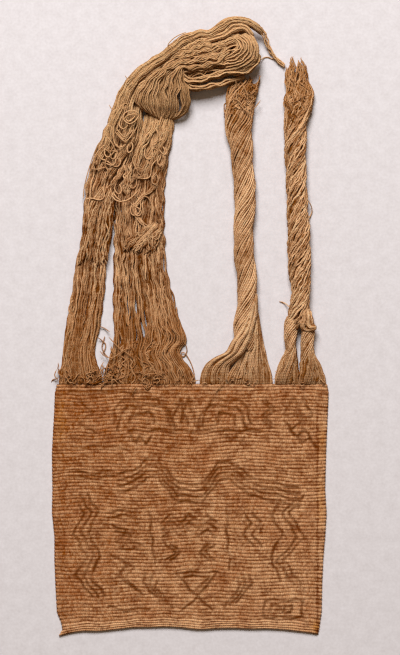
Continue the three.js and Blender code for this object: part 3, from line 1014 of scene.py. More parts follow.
# %% The inner rope's foot
# Columns: left edge across and down, right edge across and down, underside and top in mm.
FOOT_LEFT = [
    (199.0, 385.4, 229.0, 385.4, 1.1, 3.0),
    (200.5, 373, 228.0, 375, 1.0, 5.6),
    (205.0, 364, 230.0, 367, 2.0, 7.6),
    (214.0, 357.5, 236.0, 360, 3.0, 10.0),
    (225.0, 352.4, 243.0, 353, 5.0, 12.0),
    (230.5, 342.4, 249.0, 342.4, 6.0, 13.2),
    (240.0, 330, 254.0, 330, 7.0, 13.8),
    (246.0, 319, 256.5, 317, 7.0, 13.4),
    (251.0, 307, 257.0, 304, 6.0, 12.0),
    (254.0, 297, 257.0, 294, 4.0, 9.6),
]
FOOT_RIGHT = [
    (224.0, 385.4, 272.0, 385.4, 1.1, 3.0),
    (228.0, 375, 271.0, 375, 0.5, 5.4),
    (234.0, 364, 268.0, 364, 0.3, 6.6),
    (241.0, 353, 265.0, 352, 0.3, 7.8),
    (247.0, 342, 262.5, 341, 0.3, 8.8),
    (250.0, 330, 260.5, 329, 0.5, 9.6),
    (252.0, 318, 258.5, 317, 2.0, 9.8),
    (252.0, 308, 257.0, 307, 3.0, 9.0),
]


def lying_lock(rows, count, seed, locks, steps, size, wave):
    """A sheaf whose yarns crimp a little."""
    paths, _, tone, rng = sheaf(
        rows, stack(count), seed, locks, steps, wander=0.015, cut=(0.0, 0.03), held=0.2)
    return bundle(crimp(paths, rng, size, wave), tone)


foot_bundles = [
    lying_lock(FOOT_LEFT, 14, seed=21, locks=3, steps=44, size=0.14, wave=9.0),
    lying_lock(FOOT_RIGHT, 20, seed=22, locks=5, steps=38, size=0.16, wave=10.0),
    bed(FOOT_LEFT, 8, seed=24, steps=24),
    bed(FOOT_RIGHT, 11, seed=25, steps=24),
]
foot = yarn_piece("rope_inner_foot_yarns", tan_yarn, foot_bundles)

# %% [markdown]
# The outer rope stands on two legs, each a small twisted rope. Over each one a fan of yarns opens to
# the cloth, and a lock sweeps across the fan. One lock more comes out of the rope at the head of
# the right leg, and turns out to the right there.

# %% The outer rope's legs
# Columns as for the ropes.
LEG_LEFT = [
    (286.0, 385, 11.8, 0.9, 2.0),
    (286.0, 377, 11.4, 2.5, 3.0),
    (288.0, 364, 9.4, 3.6, 4.0),
    (290.5, 352, 6.2, 4.5, 4.8),
    (290.5, 345, 5.8, 5.0, 5.2),
    (290.0, 336, 6.9, 5.4, 5.6),
    (291.0, 326, 7.6, 5.6, 5.8),
    (293.0, 316, 6.5, 5.5, 6.0),
]
LEG_RIGHT = [
    (311.8, 385, 13.6, 0.9, 2.0),
    (311.4, 377, 12.9, 2.5, 3.0),
    (309.5, 365, 10.5, 3.6, 4.0),
    (307.5, 355, 7.5, 4.5, 4.8),
    (307.0, 345, 7.0, 5.0, 5.2),
    (307.5, 336, 7.0, 5.4, 5.6),
    (307.5, 326, 7.6, 5.6, 5.8),
    (305.0, 316, 7.0, 5.5, 6.0),
]
# Columns as for the foot, a table for each leg.
LEG_FANS = [
    [(274.4, 385.4, 300.0, 385.4, 1.1, 3.0), (275.0, 377, 298.6, 377, 0.8, 6.0),
     (278.8, 364, 297.4, 364, 0.8, 7.8), (285.0, 352, 296.0, 352, 1.0, 8.2),
     (286.0, 344, 295.0, 344, 1.0, 6.0)],
    [(296.4, 385.4, 325.4, 385.4, 1.1, 3.0), (297.4, 377, 324.4, 377, 0.8, 6.0),
     (299.0, 365, 320.0, 365, 0.8, 7.8), (300.6, 355, 314.4, 355, 1.0, 8.2),
     (301.4, 344, 312.8, 344, 1.0, 6.0)],
]
LEG_SWEEPS = [
    [(273.8, 385.4, 287.0, 385.4, 1.1, 3.2), (276.0, 376, 289.4, 378, 3.0, 7.0),
     (280.4, 365, 292.6, 367, 4.0, 8.8), (285.4, 355, 295.6, 357, 4.0, 9.4),
     (288.6, 346, 295.6, 347, 3.0, 8.0), (289.0, 338, 294.0, 338, 2.0, 5.6)],
    [(298.4, 385.4, 310.0, 385.4, 1.1, 3.2), (300.6, 376, 312.6, 378, 3.0, 7.0),
     (303.6, 365, 314.4, 367, 4.0, 8.8), (305.4, 355, 314.4, 357, 4.0, 9.4),
     (305.6, 346, 312.0, 347, 3.0, 8.0), (305.0, 338, 310.0, 338, 2.0, 5.6)],
]
LEG_HEAD = [
    (301.0, 302, 306.5, 304, 3.0, 8.4),
    (301.5, 313, 309.6, 314.6, 6.4, 12.6),
    (299.8, 321, 310.8, 321, 8.0, 13.6),
    (301.0, 328.5, 311.0, 324.6, 8.0, 13.6),
    (307.0, 331.2, 312.6, 325.8, 7.5, 13.2),
    (314.0, 330.6, 315.2, 326.0, 6.0, 11.6),
    (316.4, 328.6, 316.2, 326.4, 4.0, 8.6),
]
LEG_YARNS = 17
LEG_PITCH = 56.0
LEG_HELD = 0.35
LEG_LOCK_STEPS = 26

# Columns of a lock: table, yarns, seed, locks, crimp and its length in mm.
LEGS = [
    ("left", LEG_LEFT, 61, [
        (LEG_FANS[0], 12, 26, 4, 0.2, 10.0), (LEG_SWEEPS[0], 7, 28, 3, 0.2, 10.0)]),
    ("right", LEG_RIGHT, 62, [
        (LEG_FANS[1], 13, 27, 4, 0.2, 10.0), (LEG_SWEEPS[1], 6, 29, 3, 0.2, 10.0),
        (LEG_HEAD, 7, 23, 2, 0.12, 8.0)]),
]
legs = []
for name, rows, seed, over in LEGS:
    paths, tone, _, rng = twisted(
        rows, stack(LEG_YARNS), seed, LEG_PITCH, steps=44, cut=(0.0, 0.05), held=LEG_HELD)
    wound = bundle(crimp(paths, rng, size=0.12, wave=8.0), tone)
    bundles = [wound, rope_core(rows, seed, LEG_PITCH, steps=30)]
    for table, count, lock_seed, locks, size, wave in over:
        bundles.append(lying_lock(table, count, lock_seed, locks, LEG_LOCK_STEPS, size, wave))
    legs.append(yarn_piece(f"rope_outer_leg_{name}_yarns", tan_yarn, bundles))

# %% [markdown]
# At the strap's top the two hanks are folded into one thick skein. It is a pile of locks, so it
# is built as one: each lock is a sheaf with its own table, laid over the lock before it. The yarns
# here are a little finer than in the hanks. A coil of many small locks turns round an eye at the
# right, two locks run along the top, a kinked one lies below them, and two slack ones hang along
# the lower edge. A core of the same yarn in darker tones fills the gaps, and each lock has its own
# dark bed; both darker tones are painted shade.

# %% The strap's skein
# Columns: left edge across and down, right edge across and down, underside and top in mm.
LOCK_TOP = [
    (107.0, 123, 117.0, 130, 4.0, 9.0),
    (113.0, 107, 124.0, 114, 7.0, 12.8),
    (120.0, 89.5, 131.0, 96.5, 9.0, 14.6),
    (134.5, 70, 142.0, 80, 10.0, 15.6),
    (155.5, 56.5, 161.0, 65, 11.0, 16.6),
    (170.0, 45, 175.5, 54.5, 12.0, 17.4),
    (178.0, 37.8, 184.0, 47, 12.0, 18.0),
    (188.0, 34, 192.0, 42.5, 12.0, 18.4),
    (198.0, 31.3, 200.5, 39, 12.0, 18.6),
    (207.5, 31.5, 209.0, 38.5, 12.0, 18.6),
    (214.0, 27.6, 217.0, 36, 12.0, 18.8),
    (220.0, 22.5, 224.0, 31.5, 12.0, 19.2),
    (227.0, 18.8, 229.5, 27, 12.0, 19.4),
    (235.0, 17.8, 236.0, 25.2, 12.0, 19.2),
    (244.0, 18.2, 243.5, 25.4, 11.0, 18.4),
    (251.0, 20.6, 249.0, 28, 10.0, 17.0),
    (257.0, 23.5, 254.0, 31, 8.0, 14.5),
    (261.5, 27.5, 258.0, 33, 6.0, 11.5),
    (264.0, 32.5, 261.0, 36, 4.0, 8.0),
]
LOCK_SECOND = [
    (178.0, 49, 184.0, 57, 9.0, 15.6),
    (190.0, 42.5, 195.0, 50, 10.0, 16.8),
    (203.0, 38, 206.0, 45, 11.0, 17.6),
    (214.0, 36, 217.0, 42, 12.0, 18.4),
    (222.0, 32, 226.0, 39, 12.5, 18.8),
    (229.5, 25.5, 234.0, 35, 12.0, 19.0),
    (237.5, 23.6, 240.0, 32.5, 12.0, 19.2),
    (246.0, 25, 245.0, 33, 11.5, 18.4),
    (251.0, 31, 248.5, 36, 11.5, 18.0),
    (254.5, 36, 251.0, 39, 10.0, 15.5),
]
COIL = [
    (226.0, 42, 248.0, 33, 10.0, 17.8),
    (230.5, 40.5, 253.5, 38, 11.0, 20.4),
    (234.5, 42.5, 257.5, 45, 12.0, 21.6),
    (235.5, 46, 258.8, 53, 12.0, 22.2),
    (233.5, 49.5, 257.5, 60, 11.0, 22.0),
    (229.5, 52, 251.5, 67, 10.0, 21.4),
    (225.0, 53.5, 241.0, 72, 9.0, 20.2),
    (219.0, 55.5, 228.0, 74, 7.0, 16.6),
]
LOCK_LOWER = [
    (258.0, 53, 261.0, 57, 6.0, 14.0),
    (255.0, 62, 257.5, 66, 6.0, 15.8),
    (246.6, 68, 249.0, 73.5, 6.0, 16.8),
    (237.0, 69, 238.0, 76, 6.0, 17.0),
    (227.6, 68, 228.0, 75.5, 6.0, 17.0),
    (219.6, 71, 220.0, 78.5, 5.5, 16.8),
    (211.5, 73, 211.5, 80.5, 5.0, 16.6),
    (204.0, 76, 204.0, 83, 5.0, 16.2),
    (196.8, 77, 196.5, 84.5, 5.0, 16.0),
    (190.0, 78.5, 188.0, 84.5, 5.5, 16.0),
    (185.5, 74.5, 183.0, 79.5, 7.0, 16.2),
    (183.0, 69.5, 180.0, 74, 8.0, 16.5),
]
LOCK_HEM = [
    (243.0, 75, 246.0, 79, 3.0, 9.0),
    (234.3, 78, 235.5, 82, 4.0, 10.6),
    (226.0, 80, 227.0, 85, 3.0, 12.4),
    (217.0, 83, 217.0, 88, 3.0, 13.6),
    (207.5, 84, 208.0, 89.5, 3.0, 14.2),
    (198.0, 86, 197.0, 91.5, 3.0, 14.4),
    (190.5, 83.5, 188.5, 90.5, 3.0, 14.4),
    (186.5, 77, 184.5, 84, 3.0, 14.0),
]
LOCK_KINKED = [
    (168.0, 59, 178.0, 63, 8.0, 15.0),
    (179.0, 50, 189.0, 59.5, 9.5, 17.0),
    (190.0, 43.5, 199.0, 56, 11.0, 18.0),
    (199.0, 39, 207.0, 53.5, 12.0, 18.8),
    (206.0, 40, 212.0, 52.5, 12.0, 18.8),
    (211.0, 44, 213.0, 53, 10.0, 17.0),
]
LOCK_EYE = [
    (196.0, 52, 200.0, 62, 9.0, 17.0),
    (210.0, 45, 214.0, 56, 10.0, 17.6),
    (221.0, 41, 224.0, 51, 10.0, 17.6),
    (231.0, 37, 233.0, 46, 10.0, 17.4),
    (239.0, 34, 240.0, 41, 10.0, 16.8),
]
CORE = [
    (128.0, 92, 146.0, 108, 0.6, 9.0),
    (146.0, 74, 170.0, 96, 0.6, 10.0),
    (168.0, 56, 184.0, 84, 0.6, 15.4),
    (190.0, 42, 192.0, 82, 0.6, 17.8),
    (212.0, 36, 212.0, 80, 0.6, 19.0),
    (236.0, 26, 236.0, 74, 0.6, 19.0),
    (252.0, 32, 252.0, 64, 0.6, 14.6),
]
SKEIN_YARN = 0.68
SKEIN_CRIMP = 6.0
SKEIN_SECOND = 0.93
COIL_SECOND = 0.9
# The core's darker lower layers are painted shade in the gaps between locks.
CORE_LAYERS = ((22, 1.0, 0.55), (22, 0.86, 0.3), (14, 0.3, 0.2))
SKEIN_SEED = 200
SKEIN_BED_SEED = 220

# Columns: table, layers, locks, points a yarn, wander, shared wave's size, length and tilt, own crimp.
SKEIN_LOCKS = [
    (CORE, CORE_LAYERS, 5, 50, 0.04, 0.3, 11.0, 2.0, 0.2),
    (LOCK_EYE, stack(7, SKEIN_SECOND), 2, 40, 0.03, 0.5, 9.0, 0.7, 0.25),
    (LOCK_HEM, stack(5, SKEIN_SECOND), 2, 40, 0.04, 0.65, 14.0, 0.3, 0.2),
    (LOCK_LOWER, stack(6, SKEIN_SECOND), 2, 52, 0.04, 0.75, 14.0, 0.3, 0.2),
    (LOCK_TOP, stack(7, SKEIN_SECOND), 2, 104, 0.04, 0.6, 16.0, 0.6, 0.2),
    (LOCK_SECOND, stack(5, SKEIN_SECOND), 2, 52, 0.04, 0.3, 14.0, 0.5, 0.2),
    (LOCK_KINKED, stack(8, SKEIN_SECOND), 3, 40, 0.03, 1.1, 9.0, 0.8, 0.35),
    (COIL, stack(15, COIL_SECOND), 8, 52, 0.016, 0.15, 9.0, 0.8, 0.15),
]


def skein_lock(rows, layers, seed, locks, steps, wander, size, wave, tilt, own_size,
               ease=1.0, ragged=0.0, slits=()):
    """A lock of the skein, whose yarns wave together, less and less by ease, and crimp singly."""
    paths, own, tone, rng = sheaf(rows, layers, seed, locks, steps, wander, (0.0, ragged), slits=slits)
    size = size * np.linspace(1.0, ease, steps)
    paths = crimp(paths, rng, size, wave, tilt * own + YARN_LAG * rng.random(len(own)))
    return bundle(crimp(paths, rng, own_size, SKEIN_CRIMP), tone, SKEIN_YARN)


skein_bundles = []
for number, (rows, layers, locks, steps, *waves) in enumerate(SKEIN_LOCKS):
    skein_bundles.append(skein_lock(rows, layers, SKEIN_SEED + number, locks, steps, *waves))
    skein_bundles.append(bed(rows, layers[0][0] // 2 + 2, SKEIN_BED_SEED + number, steps // 2))
print("skein locks:", len(SKEIN_LOCKS))

# %% [markdown]
# A broad band runs left from the coil and falls as a lobe. It is laid in two halves, parted by a
# middle line, because its lower yarns turn down at once and its upper ones run on to the left
# first. An open loop stands at the lobe's right side: a slit in the yarns, and a smaller one in the
# bed below them, so that its upper part is the darkest.

# %% The drooping lobe
# Columns as for the skein's other locks.
BAND = [
    (218.5, 44.5, 226.5, 46.5, 9.0, 16.6),
    (221.5, 48, 228.5, 52, 10.0, 18.4),
    (220.0, 52.5, 227.0, 58.5, 10.0, 19.2),
    (214.0, 55.5, 220.0, 65, 10.0, 19.6),
    (206.0, 56.5, 210.0, 69.5, 10.0, 19.8),
    (197.5, 57.5, 200.0, 71, 9.0, 19.8),
    (190.0, 61, 192.0, 72, 9.0, 19.6),
    (180.0, 61, 185.0, 70.5, 8.0, 19.2),
    (166.0, 66.5, 184.0, 75, 8.0, 18.6),
    (151.0, 76, 188.0, 86, 8.0, 18.6),
    (139.0, 89.5, 190.0, 98, 8.0, 18.2),
]
# Columns: across and down of the line that parts the band's two halves.
BAND_MIDDLE = [
    (222.5, 45.5),
    (225.0, 50),
    (223.5, 55.5),
    (217.0, 60.2),
    (208.0, 63),
    (198.8, 64.2),
    (189.8, 65.8),
    (180.5, 66.4),
    (170.0, 71.5),
    (160.5, 81.5),
    (157.5, 94),
]
# Columns as for the band.
LOBE_TUCK = [
    (157.5, 106, 189.5, 105, 7.0, 15.4),
    (157.5, 113, 187.0, 112, 5.0, 11.2),
    (158.0, 118, 180.5, 117.5, 3.5, 7.8),
    (159.0, 121, 173.0, 120.5, 1.0, 5.0),
]
LOBE_FALL = [
    (133.0, 99, 160.0, 106, 9.0, 16.4),
    (137.0, 105, 159.5, 113, 6.5, 13.0),
    (143.0, 110, 160.0, 118.5, 5.0, 10.0),
    (149.0, 113.5, 161.0, 121.5, 3.0, 8.6),
]
OVERLAP = 2.0
LOBE_LOOP = [(0.7, 0.67, 0.93, 0.11)]
LOOP_SHADE = [(0.7, 0.64, 0.86, 0.06)]


def lobe_layers(count):
    """A lobe's layers, darker than the rest of the skein: painted shade."""
    return ((count, 1.0, 0.32), (count, 0.76, 0.0))


parted_band = list(zip(BAND_MIDDLE, BAND))
right_rows = [(x, y, *row[2:]) for (x, y), row in parted_band] + LOBE_TUCK
left_rows = [(*row[:2], x + OVERLAP, y, *row[4:]) for (x, y), row in parted_band] + LOBE_FALL
tuck = skein_lock(right_rows, lobe_layers(15), seed=230, locks=6, steps=72, wander=0.008, size=2.0,
                  wave=13.0, tilt=0.4, own_size=0.14, ease=0.1, ragged=0.05, slits=LOBE_LOOP)
fall = skein_lock(left_rows, lobe_layers(12), seed=231, locks=5, steps=76, wander=0.012, size=1.8,
                  wave=13.0, tilt=0.5, own_size=0.16, ease=0.1, ragged=0.06)
lobe_beds = [
    bed(right_rows, 6, seed=232, steps=40, slits=LOOP_SHADE),
    bed(left_rows, 6, seed=233, steps=40),
]
lobe = yarn_piece("skein_lobe_yarns", brown_yarn, [tuck, fall, *lobe_beds])
skein = yarn_piece("strap_skein_yarns", brown_yarn, skein_bundles)

# %% [markdown]
# Loose yarn is what makes the strap look old. A curl is a walk: it steps forward while its heading
# turns, so two numbers give it its loop. The first loose yarns are the ropes' brush ends, where
# combed yarns lie below and short ones lie all ways on top.

# %% Curls and brush ends
LOOSE_YARN_RADIUS = 0.62
SHORT_END_RADIUS = 0.46
CURL_SWAY = 0.06
SWAYS = (0.8, 2.0)
BEND_START = (0.1, 0.5)
BEND_SHARE = 0.45


def upon(rows, shares, across):
    """Places on top of a sheaf, as across, down and height in mm."""
    row = along(rows, sheaf_line, shares)[0]
    east = row[:, 0] + (row[:, 2] - row[:, 0]) * across
    south = row[:, 1] + (row[:, 3] - row[:, 1]) * across
    height = row[:, 4] + (row[:, 5] - row[:, 4]) * arch(across)
    return np.stack([east, south, height], axis=1)


def curls(rng, starts, heading, length, bends, rise, steps):
    """Short yarns that walk from their starts; length in steps, bends and heading in turns."""
    count = len(starts)
    t = np.linspace(0, 1, steps)
    sway = CURL_SWAY * np.sin(TURN * (rng.uniform(*SWAYS, (count, 1)) * t + rng.random((count, 1))))
    turned = np.clip((t - rng.uniform(*BEND_START, (count, 1))) / BEND_SHARE, 0, 1)
    turned = turned * turned * (3 - 2 * turned)
    angle = TURN * (heading[:, None] + bends[:, None] * turned + sway)
    stride = length[:, None] / (steps - 1)
    east = starts[:, 0:1] + np.cumsum(stride * np.sin(angle), axis=1)
    south = starts[:, 1:2] - np.cumsum(stride * np.cos(angle), axis=1)
    return place(east, south, starts[:, 2:3] + rise * np.sin(np.pi * t))


# Columns: left edge across and down, right edge across and down, underside and top in mm.
BRUSH_INNER = [
    (225.0, 124, 253.0, 118, 2.0, 12.0),
    (224.0, 108, 254.0, 104, 2.0, 12.0),
    (227.0, 95, 257.0, 92, 1.0, 10.6),
    (231.0, 84, 259.0, 83, 1.0, 8.6),
    (238.0, 76, 260.0, 75, 1.0, 6.0),
]
BRUSH_OUTER = [
    (284.5, 124, 308.0, 122, 2.0, 12.6),
    (284.0, 107, 312.0, 107, 2.0, 12.0),
    (284.5, 92, 312.5, 91, 1.0, 10.0),
    (285.0, 80, 308.0, 80, 1.0, 8.0),
    (285.0, 68, 306.0, 66, 1.0, 6.4),
    (288.0, 56, 305.0, 56, 0.8, 4.4),
]
BRUSH_YARNS = 24


def brush(rows, seed):
    """Cut ends at the top of a rope: combed ones below, and short ones that lie all ways."""
    layers = ((BRUSH_YARNS, 1.0, 0.5), (BRUSH_YARNS, 0.8, 0.3))
    paths, _, tone, rng = sheaf(rows, layers, seed, locks=5, steps=26, wander=0.05, cut=(0.3, 0.6))
    combed = bundle(crimp(paths, rng, size=0.5, wave=10.0), tone, LOOSE_YARN_RADIUS)
    count = BRUSH_YARNS // 2
    across = rng.uniform(0.15, 0.85, count)
    starts = upon(rows, rng.uniform(0.0, 0.6, count), across)
    heading = rng.normal(0.02, 0.06, count)
    reach = rng.uniform(9.0, 18.0, count)
    bends = rng.normal(0, 0.12, count)
    short = curls(rng, starts, heading, reach, bends, rise=0.3, steps=16)
    short = bundle(short, rng.normal(0.5, 0.25, count), SHORT_END_RADIUS)
    return [combed, bed(rows[:4], 8, seed=seed + 5, steps=16), short]


brushes = yarn_piece("rope_brush_yarns", tan_yarn, brush(BRUSH_INNER, 41) + brush(BRUSH_OUTER, 42))

# %% [markdown]
# Some yarns curl on the hanks below the skein, and short ends stand out all along the cloth's edge,
# brown at the hanks and tan at the ropes. A curl on a hank is kept within the hank's sides. All of
# these share one random generator, so the order of the calls below matters.

# %% Hank curls and warp roots
loose_rng = np.random.default_rng(300)
SIDE_MARGIN = 2
CURL_LENGTH = 40.0
CURLS = 10


def keep_within(rows, paths):
    """The paths, pushed back where they would leave a sheaf's sides."""
    upward = np.asarray(rows, dtype=float)[::-1]
    down = (upward[:, 1] + upward[:, 3]) / 2
    at = ORIGIN_DOWN - paths[..., 1] / STEP
    first = place(np.interp(at, down, upward[:, 0]) + SIDE_MARGIN, at, 0)[..., 0]
    last = place(np.interp(at, down, upward[:, 2]) - SIDE_MARGIN, at, 0)[..., 0]
    paths[..., 0] = np.clip(paths[..., 0], first, last)
    return paths


curl_bundles = []
for rows, first, last in ((HANK_OUTER, 0.56, 0.78), (HANK_INNER, 0.64, 0.9)):
    across = loose_rng.uniform(0.25, 0.75, CURLS)
    starts = upon(rows, loose_rng.uniform(first, last, CURLS), across)
    heading = loose_rng.choice([0.0, 0.5], CURLS) + loose_rng.normal(0, 0.05, CURLS)
    reach = CURL_LENGTH * loose_rng.uniform(0.6, 1.3, CURLS)
    inward = np.where((across < 0.5) == (np.cos(TURN * heading) > 0), 1, -1)
    bends = inward * loose_rng.uniform(0.2, 0.7, CURLS)
    paths = keep_within(rows, curls(loose_rng, starts, heading, reach, bends, rise=1.6, steps=34))
    curl_bundles.append(bundle(paths, loose_rng.normal(0.7, 0.15, CURLS), LOOSE_YARN_RADIUS))
hank_curls = yarn_piece("hank_curls", brown_yarn, curl_bundles)

# Columns: first and last across, yarns, longest in steps, height in mm.
ROOT_RUNS = [
    (57.0, 104.0, 24, 15.0, 4.6),
    (91.0, 116.0, 44, 19.0, 4.0),
    (104.0, 160.0, 28, 16.0, 4.6),
    (160.0, 196.0, 12, 10.0, 4.4),
]
TAN_ROOT_RUNS = [
    (200.0, 272.0, 26, 9.0, 4.6),
    (275.0, 326.0, 20, 9.0, 4.4),
]
ROOT_EDGE = 385.0
ROOT_DEPTH = 12.0
ROOT_RADIUS = 0.5


def roots(runs):
    """Short ends along the cloth's edge, a bundle for each run."""
    made = []
    for first, last, count, longest, height in runs:
        far = loose_rng.uniform(0, 1, count)
        starts = np.stack([
            loose_rng.uniform(first, last, count),
            ROOT_EDGE - ROOT_DEPTH * far ** 1.6,
            height * loose_rng.uniform(0.6, 1.15, count),
        ], axis=1)
        heading = loose_rng.normal(0, 0.16, count)
        reach = longest * loose_rng.uniform(0.35, 1.0, count)
        bends = loose_rng.normal(0, 0.28, count)
        paths = curls(loose_rng, starts, heading, reach, bends, rise=0.9, steps=14)
        made.append(bundle(paths, loose_rng.normal(0.62, 0.25, count), ROOT_RADIUS))
    return made


warp_roots = yarn_piece("warp_roots", brown_yarn, roots(ROOT_RUNS))
tan_roots = yarn_piece("warp_roots_tan", tan_yarn, roots(TAN_ROOT_RUNS))

# %% [markdown]
# A few threads can be followed one by one, so each is a small table of its own: stray
# ends that leave the strap, and the rings and loops that lie on the hanks.

# %% Stray threads and rings
# Each thread is a list of places: across, down and height in mm.
BROWN_THREADS = [
    [(99, 143, 9.0), (95, 152, 7.0), (91, 163, 5.0), (87, 176, 4.0), (84, 190, 4.0), (83.5, 199, 4.6)],
    [(97, 326, 4.0), (101, 326.8, 2.0), (105, 328.5, 1.6), (110, 332, 4.2)],
    [(97, 337, 4.2), (101.5, 340, 1.4), (105.5, 344, 1.2), (105, 349, 1.2), (102, 353.5, 2.0)],
    [(105, 336, 1.2), (103.5, 341, 1.3), (102, 347, 1.2), (104.5, 353, 1.4), (109, 358, 4.4)],
    [(109, 337, 5.0), (114, 342.5, 6.6), (120, 348.5, 7.0), (127, 353, 6.8), (133, 358, 6.0)],
    [(100, 351, 4.4), (105, 356, 5.0), (112, 357.6, 6.6), (118, 354.5, 7.0), (124, 350, 7.2),
     (131, 348, 6.2)],
    [(143, 377, 4.6), (147, 374.2, 6.0), (153, 373.6, 6.6), (159, 374.4, 6.0), (164, 377.5, 4.4)],
    [(184.6, 342, 4.0), (187, 348.5, 1.4), (186, 353.8, 0.8), (183.4, 356.6, 0.8), (181.0, 355, 1.0),
     (182, 352.4, 1.4), (185, 353.2, 1.9), (188.4, 358, 1.0), (191.6, 364.5, 0.8), (193.8, 371.5, 1.4),
     (194.6, 378, 3.4)],
    [(167.6, 49, 16.0), (168.6, 45, 16.8), (172.5, 40.5, 17.2), (178, 36.8, 17.8), (186, 33.6, 18.0)],
    [(257.5, 60, 11.0), (261, 59.6, 3.0), (264.5, 57.4, 0.9), (268.5, 57.2, 0.9), (272, 58.8, 0.9),
     (275.5, 58.4, 2.2)],
    [(112.5, 111, 11.0), (110.8, 108, 10.8), (109.2, 105.4, 10.6)],
    [(128, 80.5, 13.4), (126.4, 78.2, 13.4), (125.2, 76.4, 13.2)],
    [(231, 79.6, 9.6), (234.4, 79.6, 9.8), (236, 83, 9.0), (235.4, 87, 8.0), (233.4, 89.8, 8.2)],
    [(203.6, 76.6, 14.0), (205.4, 74, 14.8), (207.6, 71.2, 16.0)],
    [(59, 377, 3.6), (56, 379.2, 2.0), (53.2, 379.6, 0.8), (51.2, 381.6, 0.7)],
]
RINGS = [
    [(139.5, 117, 13.6), (137, 112.8, 14.8), (131, 111.4, 15.2), (125, 114, 14.8), (123.4, 119, 14.4),
     (126.5, 123, 14.2), (131, 124.4, 14.0), (136, 121, 14.0), (139, 116.5, 14.2)],
    [(124, 121, 14.2), (127, 117, 14.8), (133, 115, 15.0), (138, 115.6, 14.6)],
    [(126, 120, 14.4), (129.5, 122, 14.2), (134, 118.5, 14.4), (135.6, 115.4, 14.6)],
    [(114.2, 127, 13.4), (114, 136, 13.2), (114.8, 143, 13.0), (118, 147.6, 12.8), (122.5, 147.4, 12.8),
     (126, 144.6, 12.8)],
    [(115.5, 132.5, 13.6), (119.5, 137.4, 13.6), (124.8, 142, 13.4), (128.6, 140, 13.4),
     (133, 133.6, 13.4), (134, 128, 13.6)],
    [(116.5, 129, 13.8), (121, 134.6, 13.8), (125, 137.6, 13.8), (129.5, 132.5, 14.0),
     (131.5, 127, 14.0)],
    [(118, 133.4, 13.4), (123.4, 139.6, 13.4), (128, 136, 13.5), (133, 130.5, 13.6)],
    [(131, 142.6, 13.0), (133, 146, 12.8), (132, 151, 12.6), (128.6, 153, 12.6), (127.6, 149, 12.8),
     (128.8, 144.6, 13.0)],
    [(104.6, 149, 12.0), (105, 154.6, 12.0), (107.6, 157.6, 12.0), (110.4, 156.4, 12.0),
     (111, 152, 12.0)],
    [(110, 146.6, 12.4), (108.4, 151.5, 12.4), (110.6, 153, 12.4), (112.6, 148.4, 12.4)],
    [(107, 158, 11.6), (105.4, 166, 11.2), (108, 171, 11.0), (107, 177, 10.8), (103.6, 178.6, 10.6)],
    [(112, 195.6, 11.6), (115, 199.6, 11.8), (120, 201.8, 12.0), (127, 200.6, 11.8), (133, 196.6, 11.4),
     (138.4, 190.6, 11.0)],
    [(113.4, 193, 11.6), (117, 198, 11.8), (121, 200.6, 11.8)],
    [(116, 184, 11.6), (115, 190, 11.6), (119, 194.6, 11.6), (122, 190, 11.6), (119.4, 184.6, 11.8)],
    [(134, 170, 11.2), (138, 168.6, 11.4), (142.6, 169.4, 11.2)],
    [(131, 177.4, 11.2), (137, 176.8, 11.2), (143.4, 177.6, 11.0)],
    [(155, 128, 10.6), (158, 134, 11.0), (157, 141, 11.2), (152, 144, 11.2)],
    [(159, 150, 11.0), (164, 155, 9.8), (167, 152, 9.2), (165, 147.6, 9.6)],
]
TAN_THREADS = [
    [(305, 198, 9.0), (309.5, 203, 6.0), (312, 209.5, 2.0), (310.5, 215.5, 1.4), (306, 221, 5.4)],
    [(290, 308, 7.0), (286.5, 304.5, 3.0), (283, 302.4, 0.9), (279.2, 301.4, 0.9)],
    [(256, 88, 6.6), (258.4, 81.5, 5.4), (260.6, 76, 4.6)],
    [(254, 109, 8.0), (257.4, 104.8, 6.6), (260.4, 100.8, 5.6)],
    [(237, 102, 10.8), (242, 108, 12.2), (247, 112.6, 12.4), (251.6, 116, 11.0)],
    [(311, 356, 7.0), (315.6, 359.6, 4.6), (319.6, 365.4, 2.2), (320.6, 372.4, 2.6)],
    [(224.6, 380.5, 6.4), (221.4, 384.6, 5.4), (218, 388.8, 4.6), (215.2, 392, 4.4)],
    [(286, 74, 3.8), (289.6, 66, 4.6), (293, 56.4, 3.2)],
    [(297, 76, 5.4), (299.4, 68, 4.6), (301.6, 60.6, 3.2)],
    [(301, 82, 5.4), (303, 74, 4.4), (304.6, 66, 3.0)],
    [(307, 100, 8.0), (309, 92, 6.6), (309.4, 85.4, 5.0)],
    [(311, 104, 6.6), (313.4, 97, 5.4), (313.6, 90.6, 4.2)],
]
BROWN_THREAD = 0.46
TAN_THREAD = 0.48
RING_YARN = 0.7
THREAD_POINTS = 28


def thread_bundle(threads, radius, seed):
    """One yarn through each thread's table."""
    rng = np.random.default_rng(seed)
    paths = []
    for rows in threads:
        at = np.linspace(0, len(rows) - 1, THREAD_POINTS)
        paths.append(place(*through(rows, at).T))
    return bundle(np.array(paths), rng.normal(0.66, 0.2, len(threads)), radius)


brown_bundles = [thread_bundle(BROWN_THREADS, BROWN_THREAD, 310), thread_bundle(RINGS, RING_YARN, 312)]
tan_bundles = [thread_bundle(TAN_THREADS, TAN_THREAD, 311)]
brown_threads = yarn_piece("stray_brown_threads", brown_yarn, brown_bundles)
tan_threads = yarn_piece("stray_tan_threads", tan_yarn, tan_bundles)

# %% [markdown]
# The bag is two panels of ribbed cloth. Each rib is one thick weft covered by fine warps. The
# panel is a grid with four rows of points to a rib, shaped by formulas: the edges follow the
# same rows as the solids, ribs vary in width, waver, and sag to the lower corners. A Solidify
# modifier gives the cloth its thickness. The weave's tiny beads are finer than the grid, so they
# are bump and colour.

# %% The ribs
CLOTH_TOP = 384.0
CLOTH_BOTTOM = 628.0
HEADING_RIBS = [3.0, 3.2]
FOOT_RIBS = [2.6, 2.3, 2.2, 2.2]
PLAIN_RIBS = 66
ROWS_TO_A_RIB = 4

